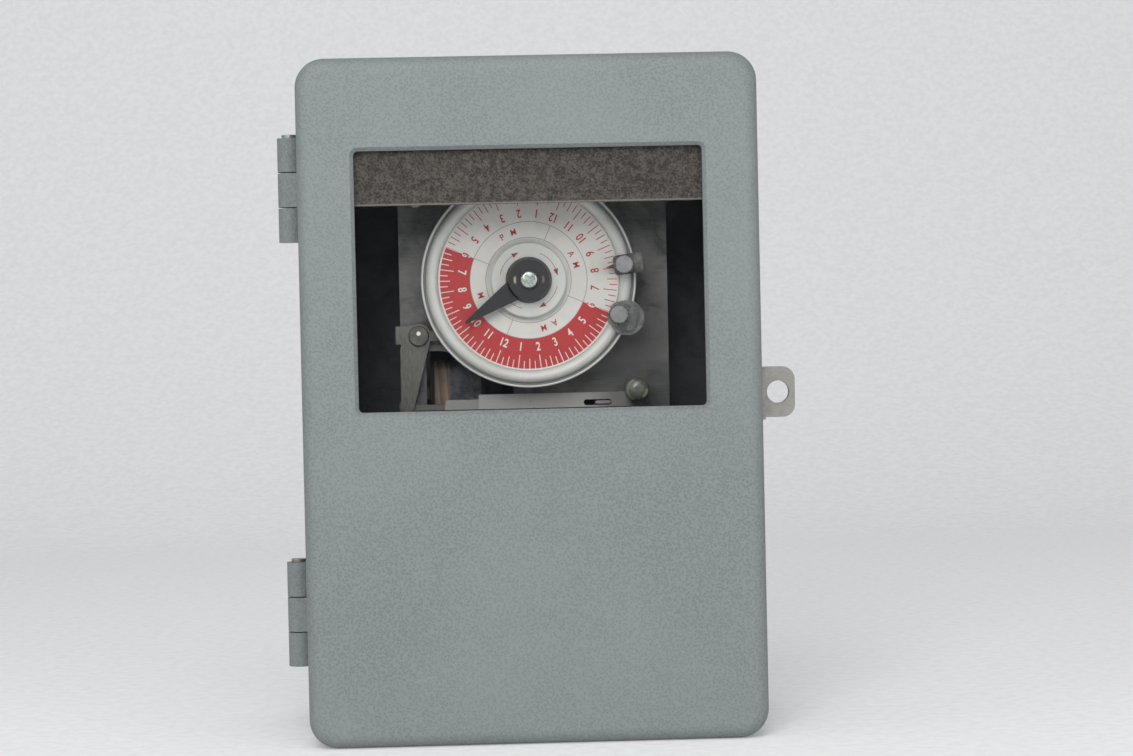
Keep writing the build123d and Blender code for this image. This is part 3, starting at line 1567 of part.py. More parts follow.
with BuildPart() as blade_feet:
    with BuildSketch(level(strip_rear)):
        with Locations(*[(place - blade_thickness / 2, foot_bottom) for place in blade_places]):
            Rectangle(fixed_strip_thickness, foot_height, align=(Align.MIN, Align.MIN))
    extrude(amount=step_front - strip_rear)
    with BuildSketch(level(step_front)):
        with Locations(*blade_pad_spots):
            Rectangle(pad_width, pad_height)
            Circle(terminal_screw_radius + screw_hole_clearance, mode=Mode.SUBTRACT)
    extrude(amount=pad_thickness)

blade_feet.part.label = "blade_feet"
export_step(blade_feet.part, "parts/blade_feet.step")

# Moving blades with their rolled ends and buttons, and the pins they turn on


def moving_blade(place):
    """Contact blade that stands on its pin, reaches up between the bar's pegs and carries a button."""
    blade_length = bar_height + blade_overlap - blade_pivot_height
    with BuildPart() as blade:
        with BuildSketch(level(strip_rear)):
            with Locations((place, blade_pivot_height)):
                Rectangle(blade_thickness, blade_length, align=(Align.CENTER, Align.MIN))
                Circle(blade_roll_radius)
                Circle(blade_pin_radius + running_clearance, mode=Mode.SUBTRACT)
        extrude(amount=strip_width)
        button_plane = Plane(
            origin=(place - blade_thickness / 2, -strip_middle, contact_height), z_dir=(-1, 0, 0)
        )
        with BuildSketch(button_plane):
            Circle(button_radius)
        extrude(amount=button_thickness)
    return blade


blade_a = moving_blade(blade_places[0])
blade_a.part.label = "blade_a"
export_step(blade_a.part, "parts/blade_a.step")

blade_b = moving_blade(blade_places[1])
blade_b.part.label = "blade_b"
export_step(blade_b.part, "parts/blade_b.step")

with BuildPart() as blade_pins:
    with BuildSketch(level(chamber_rear - blade_pin_seat)):
        with Locations(*[(place, blade_pivot_height) for place in blade_places]):
            Circle(blade_pin_radius)
    extrude(amount=chamber_depth + 2 * blade_pin_seat)

blade_pins.part.label = "blade_pins"
export_step(blade_pins.part, "parts/blade_pins.step")

# Terminal clamps and screws on the four pads

with BuildPart() as terminal_clamps:
    with BuildSketch(level(step_front + pad_thickness)):
        with Locations(*fixed_pad_spots, *blade_pad_spots):
            RectangleRounded(clamp_size, clamp_size, 1)
            Circle(terminal_screw_radius + screw_hole_clearance, mode=Mode.SUBTRACT)
    extrude(amount=clamp_thickness)

terminal_clamps.part.label = "terminal_clamps"
export_step(terminal_clamps.part, "parts/terminal_clamps.step")

terminal_screws = pan_screws(
    [*fixed_pad_spots, *blade_pad_spots],
    clamp_front,
    terminal_screw_radius,
    clamp_thickness + pad_thickness + terminal_screw_grip,
    terminal_head_radius,
    terminal_head_height,
)
terminal_screws.part.label = "terminal_screws"
export_step(terminal_screws.part, "parts/terminal_screws.step")

# Earth strap on its bosses, with the screws that hold it and the screws for the wires

with BuildPart() as earth_strap:
    with BuildSketch(level(strap_rear)):
        with Locations((0, -strap_height)):
            RectangleRounded(strap_length, strap_width, 2)
        with Locations(*strap_spots):
            Circle(earth_screw_radius + screw_hole_clearance, mode=Mode.SUBTRACT)
        with Locations(*earth_spots):
            Circle(earth_screw_radius, mode=Mode.SUBTRACT)
    extrude(amount=strap_thickness)

earth_strap.part.label = "earth_strap"
export_step(earth_strap.part, "parts/earth_strap.step")

strap_screws = pan_screws(
    strap_spots, strap_front, earth_screw_radius, strap_thickness + earth_screw_grip, earth_head_radius,
    earth_head_height,
)
strap_screws.part.label = "strap_screws"
export_step(strap_screws.part, "parts/strap_screws.step")

earth_screws = pan_screws(
    earth_spots, strap_front, earth_screw_radius, strap_thickness + earth_screw_grip, earth_head_radius,
    earth_head_height,
)
earth_screws.part.label = "earth_screws"
export_step(earth_screws.part, "parts/earth_screws.step")
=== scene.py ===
from math import cos, pi, radians, sin

import bmesh
import bpy
from mathutils import Matrix, Vector


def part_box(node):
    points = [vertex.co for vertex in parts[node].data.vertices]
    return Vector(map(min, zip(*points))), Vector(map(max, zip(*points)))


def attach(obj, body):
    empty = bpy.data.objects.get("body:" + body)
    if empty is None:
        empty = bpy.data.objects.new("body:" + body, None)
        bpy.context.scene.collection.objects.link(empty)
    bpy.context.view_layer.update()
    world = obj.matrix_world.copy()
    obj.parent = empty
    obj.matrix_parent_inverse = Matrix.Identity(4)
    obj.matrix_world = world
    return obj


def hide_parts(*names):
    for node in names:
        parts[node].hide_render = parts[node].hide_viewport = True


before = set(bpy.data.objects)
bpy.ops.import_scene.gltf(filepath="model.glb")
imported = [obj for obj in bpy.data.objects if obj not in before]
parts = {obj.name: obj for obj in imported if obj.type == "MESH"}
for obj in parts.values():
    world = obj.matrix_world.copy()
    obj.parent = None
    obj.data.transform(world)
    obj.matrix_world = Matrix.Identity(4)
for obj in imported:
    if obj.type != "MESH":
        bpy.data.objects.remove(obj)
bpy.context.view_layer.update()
scene = bpy.context.scene
scene.view_settings.view_transform = "Standard"

# The camera stands 0.9 m in front of the door, a little to the left and above, and leans to one
# side. Its aim is beside the object, which stands left of the middle of the frame.

camera_distance = 0.9
aim = Vector((0.0115, -0.098, 0.0073))
sight = Vector((-sin(radians(2.0)), -cos(radians(2.0)), sin(radians(1.2)))).normalized()
camera = bpy.data.objects.new("camera", bpy.data.cameras.new("camera"))
scene.collection.objects.link(camera)
camera.data.lens = 83.8
camera.data.sensor_width = 36
camera.data.clip_start = 0.01
lean = Matrix.Rotation(radians(-1.25), 4, "Z")
camera.matrix_world = (
    Matrix.Translation(aim + camera_distance * sight)
    @ sight.to_track_quat("Z", "Y").to_matrix().to_4x4()
    @ lean
)
scene.camera = camera

# Soft daylight: a lamp in front that reaches through the window, a broad one above and weaker ones
# from the left and the right, in a room that is pale all round.


def soft_lamp(name, place, target, size, power):
    """Square area lamp that faces a point."""
    lamp = bpy.data.objects.new(name, bpy.data.lights.new(name, "AREA"))
    scene.collection.objects.link(lamp)
    lamp.data.size = size
    lamp.data.energy = power
    lamp.location = place
    lamp.rotation_euler = (Vector(place) - Vector(target)).to_track_quat("Z", "Y").to_euler()


soft_lamp("front_lamp", (-0.25, -1.4, 0.6), (0, -0.05, 0.03), 0.6, 9)
soft_lamp("sky_lamp", (-0.1, -1.1, 1.25), (0, -0.05, 0), 0.9, 7)
soft_lamp("left_lamp", (-1.2, -0.8, 0.35), (0, -0.05, 0), 0.8, 2.5)
soft_lamp("right_lamp", (0.9, -1.2, 0.15), (0, -0.05, 0), 0.8, 5)
room = bpy.data.worlds.new("room")
scene.world = room
room.use_nodes = True
room.node_tree.nodes["Background"].inputs["Color"].default_value = (0.95, 0.96, 1.0, 1)
room.node_tree.nodes["Background"].inputs["Strength"].default_value = 0.42

# Paper sweep: one pale sheet that lies under the object and curves up behind it. It is shown to the
# camera and in gloss at its own even tone, and keeps the object's shadow.


class Flow:
    """A socket of a material. Sums and products of these add Math nodes to the material."""

    def __init__(self, tree, socket):
        self.tree = tree
        self.socket = socket

    def node(self, kind, settings=None, values=None, output=0):
        """Add a node with its settings and socket values or links, and return one output."""
        made = self.tree.nodes.new(kind)
        for name, value in (settings or {}).items():
            setattr(made, name, value)
        for key, value in (values or {}).items():
            if isinstance(value, Flow):
                self.tree.links.new(value.socket, made.inputs[key])
            else:
                made.inputs[key].default_value = value
        return Flow(self.tree, made.outputs[output])

    def maths(self, operation, first, second=0.0):
        return self.node("ShaderNodeMath", {"operation": operation}, {0: first, 1: second})

    def __add__(self, other):
        return self.maths("ADD", self, other)

    def __radd__(self, other):
        return self.maths("ADD", other, self)

    def __sub__(self, other):
        return self.maths("SUBTRACT", self, other)

    def __rsub__(self, other):
        return self.maths("SUBTRACT", other, self)

    def __mul__(self, other):
        return self.maths("MULTIPLY", self, other)

    def __rmul__(self, other):
        return self.maths("MULTIPLY", other, self)

    def __truediv__(self, other):
        return self.maths("DIVIDE", self, other)

    def __gt__(self, other):
        return self.maths("GREATER_THAN", self, other)

    def __lt__(self, other):
        return self.maths("LESS_THAN", self, other)

    def most(self, other):
        return self.maths("MAXIMUM", self, other)

    def least(self, other):
        return self.maths("MINIMUM", self, other)

    def size(self):
        return self.maths("ABSOLUTE", self)

    def root(self):
        return self.maths("SQRT", self)

    def fraction(self):
        return self.maths("FRACT", self)

    def wave(self):
        return self.maths("SINE", self)

    def turn_from(self, across):
        """Angle about an axis of the point that is so far across from it and this far up."""
        return self.maths("ARCTAN2", self, across)

    def ease(self, low, high, start=0.0, end=1.0):
        """Go smoothly from start to end while this goes from low to high."""
        return self.node(
            "ShaderNodeMapRange",
            {"interpolation_type": "SMOOTHSTEP"},
            {"Value": self, "From Min": low, "From Max": high, "To Min": start, "To Max": end},
        )

    def near(self, value, full, none):
        """1 within a small distance of a value, and 0 from a little further away."""
        return (self - value).size().ease(full, none, 1.0, 0.0)

    def noise(self, scale, detail=2.0, rough=0.5, warp=0.0):
        return self.node(
            "ShaderNodeTexNoise",
            {},
            {"Vector": self, "Scale": scale, "Detail": detail, "Roughness": rough, "Distortion": warp},
        )

    def blend(self, first, second):
        """Colour that goes from the first to the second as this goes from 0 to 1."""
        return self.node("ShaderNodeMix", {"data_type": "RGBA"}, {0: self, 6: first, 7: second}, 2)

    def bump(self, strength, depth):
        return self.node(
            "ShaderNodeBump", {}, {"Height": self, "Strength": strength, "Distance": depth}
        )

    def stretched(self, x, y, z):
        """This position with its axes stretched for a grain or brushed pattern."""
        return self.node("ShaderNodeMapping", {}, {"Vector": self, "Scale": (x, y, z)})

    def axes(self):
        """The X, Y and Z of this position."""
        made = self.tree.nodes.new("ShaderNodeSeparateXYZ")
        self.tree.links.new(self.socket, made.inputs[0])
        return [Flow(self.tree, output) for output in made.outputs]

    def about(self, x, z):
        """Across and up from an axis that points to the front, and the distance from it."""
        across, deep, up = self.axes()
        across, up = across - x, up - z
        return across, up, (across * across + up * up).root()


def finish_start(name, **constants):
    """New material with its shader's constants set, and the position on the object to paint from."""
    material = bpy.data.materials.new(name)
    material.use_nodes = True
    shader = material.node_tree.nodes["Principled BSDF"]
    for socket, value in constants.items():
        shader.inputs[socket.replace("_", " ")].default_value = value
    seat = material.node_tree.nodes.new("ShaderNodeTexCoord")
    return material, shader, Flow(material.node_tree, seat.outputs["Object"])


def feed(shader, **flows):
    """Link what varies over the surface to the shader."""
    for socket, flow in flows.items():
        flow.tree.links.new(flow.socket, shader.inputs[socket.replace("_", " ")])


def tone(red, green, blue):
    """A colour from its 0 to 255 screen values."""
    shares = [value / 255 for value in (red, green, blue)]
    return [s / 12.92 if s <= 0.04045 else ((s + 0.055) / 1.055) ** 2.4 for s in shares] + [1.0]


def keep(whole, name):
    """Turn a finished bmesh into an object at the origin, with its faces outwards."""
    bmesh.ops.recalc_face_normals(whole, faces=whole.faces)
    mesh = bpy.data.meshes.new(name)
    whole.to_mesh(mesh)
    whole.free()
    piece = bpy.data.objects.new(name, mesh)
    scene.collection.objects.link(piece)
    return piece


paper_front = -1.6
paper_back = 0.7
paper_side = 1.8
paper_curve = 0.7
paper_rise = 1.2
paper_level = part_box("base_case")[0].z - 0.0001
paper = bmesh.new()
start = [
    paper.verts.new((-paper_side, paper_front, paper_level)),
    paper.verts.new((-paper_side, paper_back, paper_level)),
]
paper.edges.new(start)
swung = bmesh.ops.spin(
    paper,
    geom=[start[1]],
    cent=(0, paper_back, paper_level + paper_curve),
    axis=(1, 0, 0),
    angle=radians(90),
    steps=24,
)
risen = bmesh.ops.extrude_vert_indiv(
    paper, verts=[g for g in swung["geom_last"] if isinstance(g, bmesh.types.BMVert)]
)
bmesh.ops.translate(paper, verts=risen["verts"], vec=(0, 0, paper_rise))
across = bmesh.ops.extrude_edge_only(paper, edges=paper.edges[:])
bmesh.ops.translate(
    paper,
    verts=[g for g in across["geom"] if isinstance(g, bmesh.types.BMVert)],
    vec=(2 * paper_side, 0, 0),
)
sweep = keep(paper, "paper_sweep")
for face in sweep.data.polygons:
    face.use_smooth = True
white, shader, at = finish_start("white_paper", Roughness=0.85)
fibre = at.noise(220, 3)
feed(shader, Base_Color=fibre.ease(0.3, 0.7).blend(tone(222, 222, 222), tone(231, 231, 232)))
seen = white.node_tree.nodes.new("ShaderNodeLightPath")
straight = Flow(white.node_tree, seen.outputs["Is Camera Ray"])
mirrored = Flow(white.node_tree, seen.outputs["Is Glossy Ray"])
through = Flow(white.node_tree, seen.outputs["Is Transmission Ray"])
shown = straight.most(mirrored).most(through)
shader.inputs["Emission Strength"].default_value = 1.0
feed(shader, Emission_Color=shown.blend((0, 0, 0, 1), (0.16, 0.16, 0.16, 1)))
sweep.data.materials.append(white)

# Case and door: moulded from one grey plastic with a pebbled surface. The mould leaves the pebbles
# fine and even, and handling leaves faint lighter scuffs. Inside, the case's back is painted dark as
# shade.


def dress(node, material):
    """Give a CAD node its finish in place of the plain one that it comes with."""
    piece = parts[node]
    piece.data.materials.clear()
    piece.data.materials.append(material)


pebbled, shader, at = finish_start("pebbled_grey_plastic", Specular_IOR_Level=0.4)
pebbles = at.node(
    "ShaderNodeTexVoronoi", {"feature": "SMOOTH_F1"}, {"Vector": at, "Scale": 1150.0, "Smoothness": 0.6}
)
grit = at.noise(2600, 2)
cloud = at.noise(14, 4, 0.6)
scuff = at.stretched(1, 1, 5).noise(60, 5, 0.7, 1.0).ease(0.62, 0.78)
shade = cloud.ease(0.3, 0.7).blend(tone(105, 112, 111), tone(117, 124, 123))
speck = (pebbles * 0.7 + grit * 0.5).ease(0.3, 0.75)
shade = (speck * 0.55).blend(shade, tone(136, 142, 142))
across, deep, up = at.axes()
wall_middle_x = 0.0772
wall_middle_z = 0.1162
corner_middle = 0.1895
inside = (across.size() < wall_middle_x) * (up.size() < wall_middle_z)
inside = inside * (across.size() + up.size() < corner_middle) * (deep < -0.0015)
# The back wall inside and the rear of the walls near it are painted dark as shade, in a mottled tone.
back_wall_shade = inside * deep.ease(-0.02, -0.005)
shadow_tone = at.noise(55, 5, 0.7, 0.8).ease(0.35, 0.7).blend(tone(30, 32, 36), tone(62, 65, 70))
shade = (back_wall_shade * 0.85).blend(shade, shadow_tone)
feed(
    shader,
    Base_Color=(scuff * 0.35).blend(shade, tone(148, 153, 152)),
    Roughness=0.5 + cloud * 0.2 + scuff * -0.08,
    Normal=(pebbles * 0.8 + grit * 0.35).bump(0.55, 0.00022),
)
dress("base_case", pebbled)
dress("door_frame", pebbled)

# Door seal and window seal: black foam rubber cord and strip, pressed between the plastic parts.

foam, shader, at = finish_start("black_foam_rubber")
pores = at.noise(1800, 3)
feed(
    shader,
    Base_Color=pores.ease(0.3, 0.7).blend(tone(22, 22, 22), tone(40, 40, 39)),
    Roughness=0.75 + pores * 0.2,
    Normal=pores.bump(0.5, 0.0001),
)
dress("door_gasket", foam)
dress("window_gasket", foam)

# Hinge pins, hasp ears and their rivets: zinc-plated steel, dulled by handling, with brushed marks.


def plated(name, dark, light, grain=(1, 1, 12), base_rough=0.34):
    """Zinc-plated steel with drawn marks, cloudy plating and a few dull spots."""
    material, shader, at = finish_start(name, Metallic=0.85)
    marks = at.stretched(*grain).noise(420, 4, 0.65)
    spots = at.noise(95, 4, 0.6)
    cloud = at.noise(22, 3)
    feed(
        shader,
        Base_Color=(marks * 0.5 + cloud * 0.5).ease(0.3, 0.7).blend(dark, light),
        Roughness=base_rough + spots.ease(0.45, 0.75) * 0.22 + marks * 0.1,
        Normal=marks.bump(0.25, 0.00005),
    )
    return material


zinc = plated("zinc_plated_steel", tone(120, 119, 114), tone(172, 171, 166))
for node in ("hinge_pins", "case_hasp", "door_hasp"):
    dress(node, zinc)


def turned(profile, segments=40, soften=0.0, low=0.0):
    """Piece turned round +Z, in mm. profile is (radius, height) from the axis and back to it.

    Its corners above the height low are rounded where soften is given.
    """
    work = bmesh.new()
    line = [work.verts.new((radius, 0, height)) for radius, height in profile]
    ridges = [work.edges.new(pair) for pair in zip(line, line[1:])]
    bmesh.ops.spin(
        work,
        geom=line + ridges,
        cent=(0, 0, 0),
        axis=(0, 0, 1),
        angle=2 * pi,
        steps=segments,
        use_merge=True,
    )
    bmesh.ops.remove_doubles(work, verts=work.verts[:], dist=0.0001)
    bmesh.ops.recalc_face_normals(work, faces=work.faces[:])
    if soften:
        corners = [
            e for e in work.edges
            if e.is_manifold and e.calc_face_angle() > radians(40) and e.verts[0].co.z > low
        ]
        bmesh.ops.bevel(
            work, geom=corners, offset=soften, segments=4, profile=0.5, affect="EDGES", material=-1
        )
    return work


def gather(whole, one, place):
    """Move one piece to its place and add it to a group."""
    one.transform(place)
    loose = bpy.data.meshes.new("loose")
    one.to_mesh(loose)
    one.free()
    whole.from_mesh(loose)
    bpy.data.meshes.remove(loose)


def fit(whole, name, node, body, finish):
    """Make the group an object that stands for a CAD node and rides on that node's body."""
    piece = keep(whole, name)
    piece.data.shade_smooth()
    piece.data.set_sharp_from_angle(angle=radians(32))
    piece.data.materials.append(finish)
    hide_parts(node)
    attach(piece, body)


def facing(x, y, z, way, turn):
    """Place in metres of a piece in mm, with its +Z to the front, or to the wall where way is 1."""
    return (
        Matrix.Translation((x, y, z))
        @ Matrix.Rotation(radians(-90 * way), 4, "X")
        @ Matrix.Rotation(radians(turn), 4, "Z")
        @ Matrix.Scale(0.001, 4)
    )


def islands(node, reach):
    """Middles (x, z) of the separate solids in a node of like pieces, each narrower than the reach."""
    groups = []
    for vertex in parts[node].data.vertices:
        spot = Vector((vertex.co.x, vertex.co.z))
        for group in groups:
            if (spot - group[0]).length < reach:
                group.append(spot)
                break
        else:
            groups.append([spot])
    middles = []
    for group in groups:
        xs, zs = [s.x for s in group], [s.y for s in group]
        middles.append(((min(xs) + max(xs)) / 2, (min(zs) + max(zs)) / 2))
    return middles


rivet_radius = 0.0027
rivet_length = 0.0039
for node, body in (("case_hasp_rivets", "enclosure"), ("door_hasp_rivets", "door")):
    low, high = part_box(node)
    rivets = bmesh.new()
    for rivet_y in (low.y + rivet_radius, high.y - rivet_radius):
        for end, way in ((low.x, -90), (high.x, 90)):
            dome = turned(
                [(0, 0), (1.5, 0), (1.5, 2.9), (2.7, 2.9), (2.55, 3.45), (1.7, 3.8), (0, 3.9)]
            )
            stand = Matrix.Translation((end, rivet_y, 0)) @ Matrix.Rotation(radians(way), 4, "Y")
            sunk = Matrix.Translation((0, 0, -rivet_length)) @ Matrix.Scale(0.001, 4)
            gather(rivets, dome, stand @ sunk)
    fit(rivets, node.replace("hasp", "domed"), node, body, zinc)

# Window: a moulded clear pane with a frosted strip along its top, held against the door by a black
# plastic frame and six small screws. The clear part is hazy, smudged and finely scuffed.

strip_depth = 0.0256
strip_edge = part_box("window_pane")[1].z - strip_depth
clear, shader, at = finish_start("hazy_clear_plastic", IOR=1.49, Specular_IOR_Level=0.2)
up = at.axes()[2]
frosted = up.ease(strip_edge - 0.0002, strip_edge + 0.0002)
sparkle = at.noise(1500, 2, 0.7)
haze = at.noise(28, 4, 0.6)
smudges = at.noise(120, 4, 0.65, 0.5).ease(0.5, 0.72)
scratches = at.stretched(9, 1, 1).noise(190, 3, 0.7, 0.6).ease(0.66, 0.74)
# A lighter line along the frosted strip's lower edge is a painted highlight.
line = up.near(strip_edge, 0.0003, 0.0008)
grain = (sparkle * 0.6 + at.noise(420, 3, 0.6) * 0.4).ease(0.38, 0.66)
frost = (grain * 0.6 + line * 0.9).blend(tone(50, 47, 43), tone(112, 108, 101))
film = 0.02 + haze * 0.03 + smudges * 0.03 + scratches * 0.04
feed(
    shader,
    Base_Color=frosted.blend(tone(60, 62, 64), frost),
    Alpha=film * (1 - frosted) + frosted * 0.84,
    Roughness=0.1 + haze * 0.12 + frosted * 0.5,
    Normal=(sparkle * frosted).bump(0.5, 0.0001),
)
dress("window_pane", clear)

black_frame, shader, at = finish_start("black_moulded_plastic", Specular_IOR_Level=0.45)
grain = at.noise(900, 3)
cloud = at.noise(30, 3)
feed(
    shader,
    Base_Color=cloud.ease(0.3, 0.7).blend(tone(28, 28, 29), tone(40, 40, 40)),
    Roughness=0.38 + cloud * 0.15,
    Normal=grain.bump(0.3, 0.00006),
)
dress("window_retainer", black_frame)

# Mechanism plate and gear plate: sheet steel, zinc plated, gone cloudy and stained in part, and
# painted with a patch of shade under the on tripper. The spring's anchor stud and the blades' pins
# are turned steel.

sheet, shader, at = finish_start("cloudy_sheet_steel", Metallic=0.6)
drawn = at.stretched(1, 1, 14).noise(260, 4, 0.65)
cloud = at.noise(24, 4, 0.65, 0.8)
stain = at.noise(70, 5, 0.7, 1.2).ease(0.56, 0.72)
# A patch of painted shade darkens the plate under the on tripper, centred here.
tripper_shade_x = 0.038
tripper_shade_z = 0.02
across, deep, up = at.axes()
across = across - tripper_shade_x
up = (up - tripper_shade_z) * 0.6
tripper_shade = (across * across + up * up + at.noise(45, 3) * 0.0002).ease(0.00012, 0.0004, 1.0, 0.0)
shade = (cloud * 0.8 + drawn * 0.2).ease(0.36, 0.64).blend(tone(64, 64, 65), tone(110, 110, 108))
feed(
    shader,
    Base_Color=(stain * 0.5 + tripper_shade * 0.5).least(0.8).blend(shade, tone(56, 55, 54)),
    Roughness=0.36 + cloud * 0.14 + stain * 0.2,
    Normal=(drawn * 0.6 + stain * 0.4).bump(0.3, 0.00005),
)
for node in ("mechanism_plate", "gear_plate"):
    dress(node, sheet)
turned_steel = plated("turned_steel", tone(150, 149, 145), tone(196, 195, 190), (1, 8, 1), 0.26)
for node in ("spring_anchor_stud", "blade_pins"):
    dress(node, turned_steel)

# Plate screws: pan heads turned from steel, with a rolled edge and a milled slot, each stopped at
# its own turn. The pillars, motor, block, terminals, window frame and strap have screws like them.


def as_made(thing):
    """Mesh of an object or a text as it stands, with its modifiers."""
    bpy.context.view_layer.update()
    made = thing.evaluated_get(bpy.context.evaluated_depsgraph_get())
    return bpy.data.meshes.new_from_object(made)


def cut_out(work, tool):
    """Take a tool's shape out of a piece that is being made."""
    pair = []
    for shape in (work, tool):
        mesh = bpy.data.meshes.new("cut")
        shape.to_mesh(mesh)
        pair.append(bpy.data.objects.new("cut", mesh))
        scene.collection.objects.link(pair[-1])
    step = pair[0].modifiers.new("cut", "BOOLEAN")
    step.operation = "DIFFERENCE"
    step.solver = "EXACT"
    step.object = pair[1]
    result = as_made(pair[0])
    work.clear()
    work.from_mesh(result)
    tool.free()
    for thing in pair:
        bpy.data.meshes.remove(thing.data)
    bpy.data.meshes.remove(result)


def pan_heads(
    name, node, head, rise, shank, grip, finish, body="enclosure", way=-1, cross=False
):
    """Screws that stand for a node of like screws. head, rise, shank and grip are in mm."""
    low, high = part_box(node)
    crown = low.y if way < 0 else high.y
    slit_width = head * 0.26
    slit_length = head * (1.3 if cross else 3)
    head_profile = [(0, 0), (head, 0), (head, rise), (0, rise)]
    stem_profile = [(0, -grip), (shank - 0.3, -grip), (shank, -grip + 0.5), (shank, 0.05), (0, 0.05)]
    whole = bmesh.new()
    for order, (x, z) in enumerate(islands(node, head * 0.0022)):
        one = turned(head_profile, 36, rise * 0.4, rise / 2)
        for slit in range(2 if cross else 1):
            mill = bmesh.new()
            bmesh.ops.create_cube(mill, size=1)
            bmesh.ops.scale(mill, verts=mill.verts[:], vec=(slit_width, slit_length, rise))
            bmesh.ops.rotate(mill, verts=mill.verts[:], matrix=Matrix.Rotation(pi / 2 * slit, 3, "Z"))
            bmesh.ops.translate(mill, verts=mill.verts[:], vec=(0, 0, rise * 1.05))
            cut_out(one, mill)
        gather(one, turned(stem_profile, 20), Matrix())
        gather(whole, one, facing(x, crown - way * rise / 1000, z, way, 35 + 67 * order))
    fit(whole, name, node, body, finish)


pan_heads("plate_pan_screws", "plate_screws", 4, 2.4, 2, 11.5, zinc)

# Pillars, dial bush and centre post: brass bar, turned and cut off, dull where it was handled.

brass, shader, at = finish_start("turned_brass", Metallic=1.0)
rings = at.stretched(1, 30, 1).noise(160, 3, 0.6)
dull = at.noise(80, 4, 0.6)
feed(
    shader,
    Base_Color=dull.ease(0.35, 0.7).blend(tone(196, 158, 84), tone(150, 116, 62)),
    Roughness=0.24 + dull * 0.2 + rings * 0.08,
    Normal=rings.bump(0.35, 0.00005),
)
for node in ("frame_pillars", "dial_bush"):
    dress(node, brass)
dress("centre_post", turned_steel)

# The pillars' screws, three from the front and three from behind, and the two that hold the motor.

pan_heads("pillar_front_screws", "pillar_screws", 2.8, 1.6, 1.5, 6.5, zinc)
pan_heads("pillar_rear_screws", "pillar_screws", 2.8, 1.6, 1.5, 6.5, zinc, way=1)
pan_heads("motor_pan_screws", "motor_screws", 2.8, 1.3, 1.5, 6.5, zinc)

# Motor: an aluminium gear can on a laminated iron stator, rusty at its left end. The coil is wound
# on a black bobbin round the lower leg and wrapped in tape, brown at the left and black beyond.

can_metal, shader, at = finish_start("drawn_aluminium", Metallic=1.0)
swirl = at.stretched(1, 40, 1).noise(90, 3)
smudge = at.noise(45, 4, 0.6)
feed(
    shader,
    Base_Color=smudge.ease(0.3, 0.7).blend(tone(176, 177, 178), tone(150, 151, 152)),
    Roughness=0.3 + smudge * 0.2,
    Normal=swirl.bump(0.3, 0.00004),
)
dress("motor_can", can_metal)

brown_full = -0.0295
brown_none = -0.0283
leaf_thickness = 0.0005
iron, shader, at = finish_start("varnished_laminations", Metallic=0.3)
across, deep, up = at.axes()
leaves = (deep * (1 / leaf_thickness)).fraction()
rust = at.noise(160, 4, 0.65).ease(0.55, 0.75)
streaks = at.stretched(6, 1, 1).noise(150, 3).ease(0.3, 0.6)
rusty_end = across.ease(brown_full, brown_none, 1.0, 0.0) * streaks
shade = (leaves.ease(0.0, 0.3) * 0.6 + rust * 0.4).blend(tone(38, 38, 40), tone(72, 68, 64))
feed(
    shader,
    Base_Color=rusty_end.blend(shade, tone(150, 128, 112)),
    Roughness=0.4 + rust * 0.3,
    Normal=leaves.ease(0.0, 0.25).bump(0.8, 0.0001),
)
dress("motor_stator", iron)
dress("coil_bobbin", black_frame)

tape, shader, at = finish_start("coil_tape", Coat_Weight=0.1, Coat_Roughness=0.3)
across, deep, up = at.axes()
edge = ((across + deep * 0.12 + up * 0.06) * 330).fraction()
wrinkle = at.noise(420, 3, 0.6)
brown = (edge * 0.6 + wrinkle * 0.4).ease(0.2, 0.8).blend(tone(140, 117, 100), tone(190, 165, 145))
black = at.noise(130, 4, 0.65).ease(0.35, 0.7).blend(tone(50, 53, 58), tone(118, 123, 130))
feed(
    shader,
    Base_Color=across.ease(brown_full, brown_none).blend(brown, black),
    Roughness=0.34 + wrinkle * 0.2,
    Normal=(edge * 0.8 + wrinkle * 0.3).bump(0.6, 0.00015),
)
dress("motor_coil", tape)

# Gear train: wheels moulded in natural nylon, ivory and slightly waxy.

nylon, shader, at = finish_start("natural_nylon", Specular_IOR_Level=0.5, Subsurface_Weight=0.1)
mottle = at.noise(120, 3, 0.6)
dust = at.noise(700, 2).ease(0.62, 0.8)
yellowed = (mottle * 0.6 + dust * 0.4).ease(0.3, 0.75)
feed(
    shader,
    Base_Color=yellowed.blend(tone(214, 208, 190), tone(190, 182, 160)),
    Roughness=0.36 + mottle * 0.16,
    Normal=mottle.bump(0.2, 0.00005),
)
for node in ("dial_gear", "dial_sleeve", "idler_wheel", "motor_pinion"):
    dress(node, nylon)

# Dial: a disc moulded in milky white plastic. A fine groove parts its raised outer bead from the
# wide smooth band on which the trippers are clamped. The cap at the middle is of the same plastic.

groove_radius = 0.03675
disc_low, disc_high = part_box("dial_disc")
dial_height = (disc_low.z + disc_high.z) / 2
milky, shader, at = finish_start("milky_dial_plastic", Subsurface_Weight=0.06, Coat_Weight=0.15)
radius = at.about(0, dial_height)[2]
clouds = at.noise(38, 4, 0.6)
dust = at.noise(850, 3, 0.7).ease(0.6, 0.82)
# The groove is painted dark as shade.
groove_shade = radius.near(groove_radius, 0.0003, 0.0006)
shade = clouds.ease(0.3, 0.7).blend(tone(196, 195, 188), tone(210, 210, 204))
shade = (groove_shade * 0.75).blend(shade, tone(84, 84, 82))
feed(
    shader,
    Base_Color=(dust * 0.35).blend(shade, tone(168, 164, 154)),
    Roughness=0.3 + clouds * 0.2,
    Normal=(clouds * 0.6 + dust * 0.4).bump(0.12, 0.00006),
)
for node in ("dial_disc", "dial_cap"):
    dress(node, milky)

